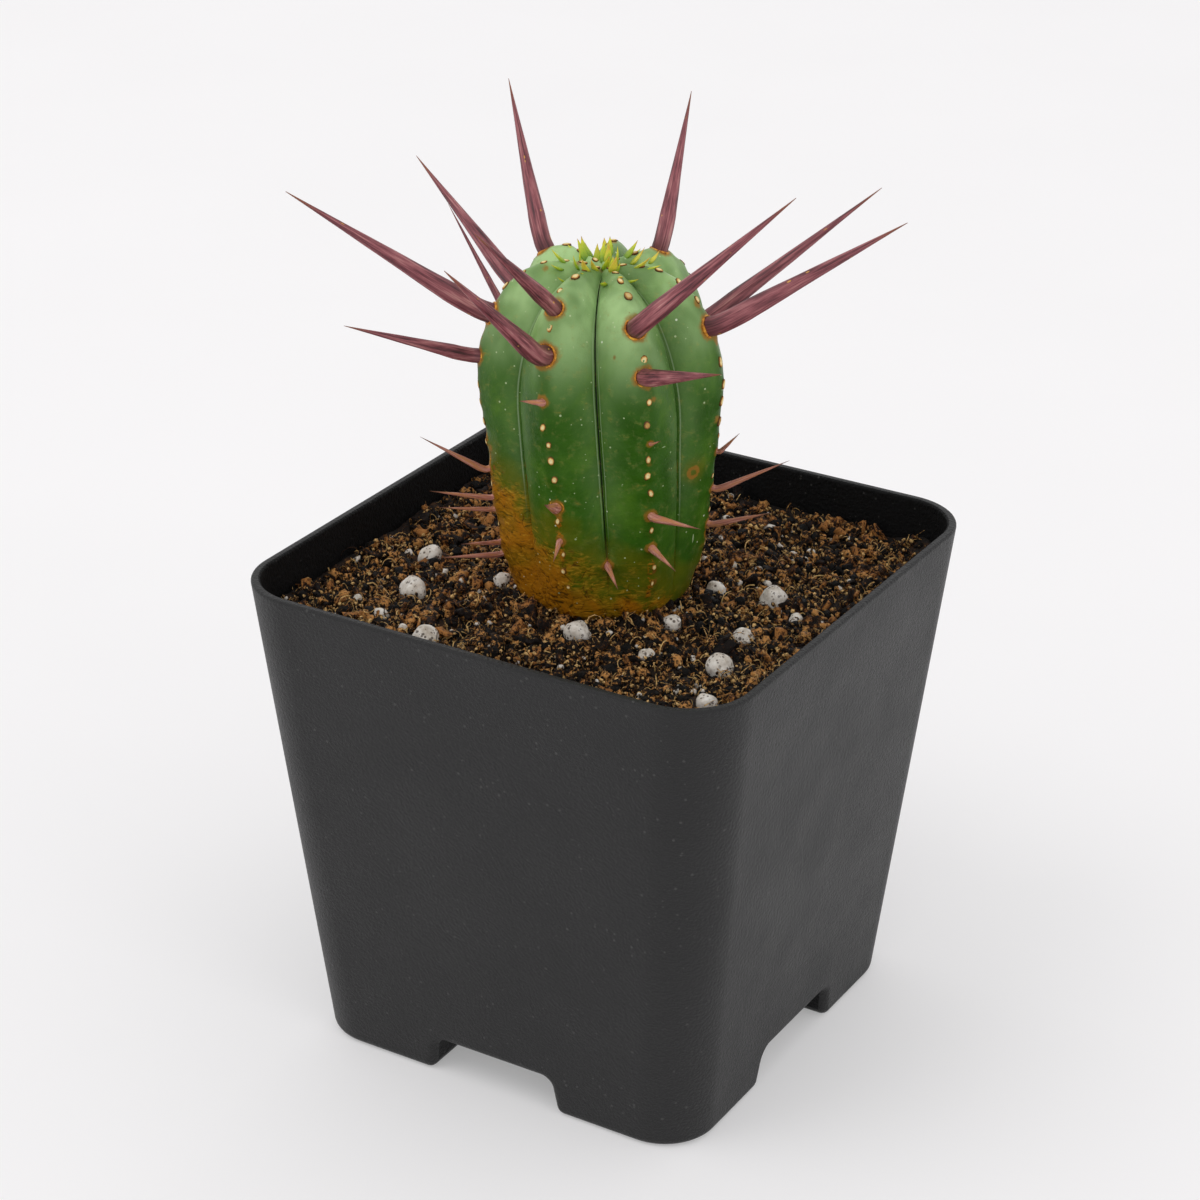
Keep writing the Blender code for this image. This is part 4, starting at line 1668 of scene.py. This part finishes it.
def bedSolid(top):
    cells = bed["cells"]
    side = cells + 1
    points = [tuple(p) for p in top.reshape(-1, 3)]
    faces = gridFaces(cells)
    edge = [i * side for i in range(side)] + [cells * side + j for j in range(1, side)]
    edge += [i * side + cells for i in range(cells - 1, -1, -1)] + [j for j in range(cells - 1, 0, -1)]
    last = edge
    upper = halfWidth(soilLevel) - pot["wall"] - bed["gap"]
    for z in (soilLevel - 6 * mm, 0.55 * soilLevel, bed["bottom"]):
        scale = (halfWidth(z) - pot["wall"] - bed["gap"]) / upper
        ring = list(range(len(points), len(points) + len(edge)))
        points += [(points[i][0] * scale, points[i][1] * scale, z) for i in edge]
        faces += [
            (last[k], ring[k], ring[(k + 1) % len(ring)], last[(k + 1) % len(ring)]) for k in range(len(ring))
        ]
        last = ring
    points.append((0, 0, bed["bottom"]))
    faces += [(last[k], len(points) - 1, last[(k + 1) % len(last)]) for k in range(len(last))]
    return closedMesh("pottingMixBed", points, faces)


def bedPeat():
    finish, shader = newFinish("peatBed", Specular_IOR_Level=0.3)
    point = objectPoint()
    clump = noiseOf(point, *bed["clump"])
    fleck = noiseOf(point, *bed["fleck"])
    key = timesPlus(fleck, 0.5, times(clump, 0.6))
    wire(shader, Base_Color=ramp(key, *bed["peat"]))
    wire(shader, Roughness=between(fleck, 0.3, 0.7, 0.62, 0.92))
    bump(shader, key, bed["relief"])
    return finish


# what lies on the bed: dark, middle and bright colour, where the middle is and the least roughness,
# then how many to the square millimetre, smallest and largest in millimetres, lift and lean, and a seed
layers = {
    "peatCrumbs": {
        "finish": ((0.0012, 0.0007, 0.0004), (0.022, 0.0085, 0.0025), (0.66, 0.31, 0.090), 0.66, 0.36),
        "scatter": (1.30, 0.50, 1.70, 0.30, 3.14, 31),
    },
    "peatFines": {
        "finish": ((0.004, 0.002, 0.0012), (0.105, 0.040, 0.009), (1.0, 0.64, 0.25), 0.56, 0.42),
        "scatter": (2.9, 0.18, 0.60, 1.9, 3.14, 32),
    },
    "barkFlakes": {
        "finish": ((0.006, 0.002, 0.001), (0.070, 0.023, 0.005), (0.52, 0.22, 0.060), 0.58, 0.36),
        "scatter": (0.95, 0.7, 2.3, 0.40, 1.1, 33),
    },
    "coirFibres": {
        "finish": ((0.030, 0.011, 0.003), (0.34, 0.150, 0.030), (0.95, 0.62, 0.24), 0.50, 0.38),
        "scatter": (1.45, 0.8, 2.5, 0.40, 1.9, 34),
    },
}


def crumbFinish(name, dark, mid, bright, paleFrom, roughLow):
    # colour runs from nearly black crumbs to bright ones by each crumb's own tint
    finish, shader = newFinish(name, Specular_IOR_Level=0.22)
    fleck = noiseOf(objectPoint(), 2400.0, 4.0, 0.7)
    body = ramp(frayed(reading("tint"), fleck, 3.0), (0.34, dark), (paleFrom, mid), (0.90, bright))
    wire(shader, Base_Color=body)
    wire(shader, Roughness=between(fleck, 0.3, 0.7, roughLow, roughLow + 0.3))
    bump(shader, fleck, 0.60 * mm)
    return finish


def cutCube():
    # unit cube with four faces to each side
    bm = bmesh.new()
    bmesh.ops.create_cube(bm, size=1)
    bmesh.ops.subdivide_edges(bm, edges=bm.edges, cuts=1, use_grid_fill=True)
    return bm


def lumpShape(seed, flat=1.0, wild=0.30):
    # 24-sided lump, about one unit across
    pick = random.Random(seed)
    bm = cutCube()
    for vert in bm.verts:
        vert.co = vert.co.normalized() * 0.5 * (1 + pick.uniform(-wild, wild))
        vert.co.z *= flat
    return meshFrom("lump", bm)


def dustShape(seed):
    pick = random.Random(seed)
    bm = bmesh.new()
    bmesh.ops.create_icosphere(bm, subdivisions=1, radius=0.5)
    for vert in bm.verts:
        vert.co *= pick.uniform(0.55, 1.25)
    return meshFrom("dust", bm)


def flakeShape(seed):
    pick = random.Random(seed)
    bm = cutCube()
    wide = pick.uniform(0.35, 0.62)
    for vert in bm.verts:
        x, y, z = vert.co
        vert.co = (
            x * pick.uniform(0.75, 1.15),
            y * wide * pick.uniform(0.6, 1.3),
            z * 0.26 * pick.uniform(0.6, 1.3) + 0.35 * x * x,
        )
    return meshFrom("flake", bm)


def fibreShape(seed):
    # curled three-sided thread, about one unit across
    pick = random.Random(seed)
    steps = 7
    sweep = pick.uniform(1.6, 5.2)
    radius = pick.uniform(0.22, 0.45)
    climb = pick.uniform(0.1, 0.55)
    wave = pick.uniform(0, 6)
    rings = []
    for i in range(steps):
        t = i / (steps - 1)
        turn = sweep * t
        middle = Vector(
            (radius * math.cos(turn), radius * math.sin(turn), climb * t + 0.10 * math.sin(5 * t + wave))
        )
        outward = Vector((math.cos(turn), math.sin(turn), 0))
        thick = 0.040 * (1 - 0.5 * t)
        rings.append(
            [
                tuple(middle + thick * (outward * math.cos(a) + Vector((0, 0, 1)) * math.sin(a)))
                for a in (0, 2.1, 4.2)
            ]
        )
    rings = np.array(rings)
    return ringMesh("fibre", rings, tuple(rings[0].mean(0)), tuple(rings[-1].mean(0)))


def scatterTree():
    start, end = newShapeTree(
        "scatterOver",
        Shapes="Collection",
        Per_Square_Metre="Float",
        Smallest="Float",
        Largest="Float",
        Lift="Float",
        Lean="Float",
        Seed="Int",
        Finish="Material",
    )
    given = start.outputs
    surface, seed = given["Geometry"], given["Seed"]
    density = times(given["Per Square Metre"], named("spread"))
    settings = {"distribute_method": "RANDOM"}
    spots = put("GeometryNodeDistributePointsOnFaces", settings, Mesh=surface, Density=density, Seed=seed)
    share = maths("POWER", chance(seed), 1.8)
    size = timesPlus(minus(given["Largest"], given["Smallest"]), share, given["Smallest"])
    up = put("ShaderNodeCombineXYZ", Z=times(size, times(given["Lift"], chance(plus(seed, 5.0), 0.2, 1.0))))
    raised = put("GeometryNodeSetPosition", Geometry=spots.outputs["Points"], Offset=up.outputs[0])
    leanX, leanY = (times(given["Lean"], chance(plus(seed, k), -1.0, 1.0)) for k in (1.0, 2.0))
    turn = put("ShaderNodeCombineXYZ", X=leanX, Y=leanY, Z=chance(plus(seed, 3.0), 0.0, 2 * math.pi))
    shapes = shapesIn(given["Shapes"])
    copies = put(
        "GeometryNodeInstanceOnPoints",
        Points=raised.outputs[0],
        Instance=shapes,
        Pick_Instance=True,
        Rotation=turn.outputs[0],
        Scale=size,
    )
    tinted = stored(copies.outputs[0], "tint", chance(plus(seed, 4.0)), domain="INSTANCE")
    return finishTree(start, end, tinted)


scatterOver = scatterTree()


def scatterPiece(name, top, spread, shapes, finish, scatter, slotName):
    perSquareMm, smallest, largest, lift, lean, seed = scatter
    mesh = plainMesh(name, [tuple(p) for p in top.reshape(-1, 3)], faces=gridFaces(bed["cells"]))
    addAttribute(mesh, "spread", spread.ravel())
    piece = addPiece(name, mesh)
    group = shapeCollection(name, shapes)
    values = {
        "Shapes": group,
        "Per Square Metre": perSquareMm / mm ** 2,
        "Smallest": smallest * mm,
        "Largest": largest * mm,
        "Lift": lift,
        "Lean": lean,
        "Seed": seed,
        "Finish": finish,
    }
    applyTree(piece, scatterOver, values)
    dropCollection(group)
    settle(piece, slotName)
    print(name, len(piece.data.polygons), "faces")


def spreadOver(top, wallDistance, margin):
    # where loose pieces may lie: off the stem, off the wall and off the perlite
    x, y = top[..., 0], top[..., 1]
    away = np.hypot(x - stem["x"], y - stem["y"]) - stemFoot
    spread = smoothStep(away, -0.6 * mm, 0.5 * mm) * smoothStep(wallDistance, margin * 0.6, margin)
    for gx, gy, width, _ in (*grains.values(), *looseGrains):
        away = np.hypot(x - gx * mm, y - gy * mm)
        spread = spread * smoothStep(away, 0.50 * width * mm, 0.72 * width * mm)
    return spread


def brownShare(top):
    # drier and browner patches, more of them towards the back and the left
    x, y = top[..., 0], top[..., 1]
    scale = bed["brownPatches"]
    patch = np.vectorize(lambda a, b: noise.noise(Vector((a * scale, b * scale, 9))))(x, y)
    drift = (-0.35 * x + 0.75 * y) / bed["driftWidth"]
    return np.clip(0.42 + 0.75 * patch + 0.42 * drift, bed["leastBrown"], 1)


def buildBed():
    top, wallDistance = bedTop()
    body = addPiece("pottingMixBed", bedSolid(top))
    body.data.materials.append(bedPeat())
    settle(body, "potting_mix", "potting_mix")
    spread = spreadOver(top, wallDistance, bed["clear"])
    brown = brownShare(top)
    forms = ((0.8, 0.3), (0.65, 0.38), (0.9, 0.3), (0.55, 0.42), (0.75, 0.35))  # how flat, how uneven
    shapes = {
        "peatCrumbs": [lumpShape(i, flat, wild) for i, (flat, wild) in enumerate(forms)],
        "peatFines": [dustShape(40 + i) for i in range(5)],
        "barkFlakes": [flakeShape(60 + i) for i in range(6)],
        "coirFibres": [fibreShape(80 + i) for i in range(9)],
    }
    shares = {"barkFlakes": brown, "coirFibres": np.clip(1.25 - 0.75 * brown, 0.1, 1)}
    for name, layer in layers.items():
        finish = crumbFinish(name, *layer["finish"])
        scatterPiece(
            name, top, spread * shares.get(name, 1), shapes[name], finish, layer["scatter"], "potting_mix"
        )
    return top, spread


mixTop, mixSpread = buildBed()
print("potting mix is laid")


# perlite

perlite = {
    "steps": 4,
    "uneven": 0.10,
    "fineUneven": 0.03,
    "pitDepth": 0.055,
    "pitScale": 4.2,
    "chalk": ((0.30, (0.45, 0.39, 0.32)), (0.50, (0.66, 0.61, 0.54)), (0.70, (0.84, 0.81, 0.76))),
    "fleck": (0.050, 0.030, 0.018),
    "flecks": (2500.0, 0.46, 0.62),  # specks: scale, size, share
    "pit": (0.125, 0.075, 0.042),
    "grain": 1700.0,
    "bump": 0.12 * mm,
    "bits": (0.085, 0.30, 1.0, 0.8, 3.14, 35),  # scattered as the layers on the bed are
}


def perliteChalk():
    finish, shader = newFinish("perliteChalk", Roughness=0.85, Specular_IOR_Level=0.25)
    point = objectPoint()
    body = ramp(noiseOf(point, 900.0, 4.0, 0.6), *perlite["chalk"])
    dirty = between(noiseOf(point, 240.0, 2.0), 0.30, 0.52)
    flecked = times(specks(point, *perlite["flecks"]), timesPlus(dirty, 0.9, 0.10))
    body = blendColour(flecked, body, perlite["fleck"], 0.85)
    body = blendColour(reading("pit"), body, perlite["pit"], 0.80)
    wire(shader, Base_Color=body)
    bump(shader, grain(point, perlite["grain"]), perlite["bump"])
    return finish


def grainMesh(bm, spot, seed):
    gx, gy, width, buried = spot
    pick = random.Random(seed)
    shift = Vector((pick.uniform(0, 50), pick.uniform(0, 50), pick.uniform(0, 50)))
    place = Vector((gx * mm, gy * mm, cadSoil(gx * mm, gy * mm) + width * mm * (0.5 - buried)))
    steps = perlite["steps"] if width > 1.5 else 3
    made = bmesh.ops.create_icosphere(bm, subdivisions=steps, radius=1)
    layer = bm.verts.layers.float["pit"]
    pitShare = pick.uniform(0.16, 0.34)
    for vert in made["verts"]:
        way = vert.co.normalized()
        swell = 1 + perlite["uneven"] * (2 * noise.noise(way * 1.1 + shift))
        swell += perlite["fineUneven"] * noise.noise(way * 4 + shift)
        distances, _ = noise.voronoi(way * perlite["pitScale"] + shift)
        cell = noise.cell(way * 1.7 + shift)
        pit = max(0.0, 1 - distances[0] / pitShare) if cell > 0.15 else 0.0
        pit = min(pit * 1.6, 1.0)
        vert[layer] = pit
        vert.co = place + way * (width / 2 * mm * (swell - perlite["pitDepth"] * pit))


def buildPerlite():
    bm = bmesh.new()
    bm.verts.layers.float.new("pit")
    for k, spot in enumerate((*grains.values(), *looseGrains)):
        grainMesh(bm, spot, 200 + k)
    mesh = meshFrom("perliteGrains", bm)
    mesh.shade_smooth()
    piece = addPiece("perliteGrains", mesh)
    chalk = perliteChalk()
    mesh.materials.append(chalk)
    settle(piece, "perlite", *(f"perlite_{letter}" for letter in grains))
    bits = [lumpShape(120 + i, 0.8, 0.38) for i in range(4)]
    scatterPiece("perliteBits", mixTop, mixSpread, bits, chalk, perlite["bits"], "perlite")


buildPerlite()
print("perlite is in place")
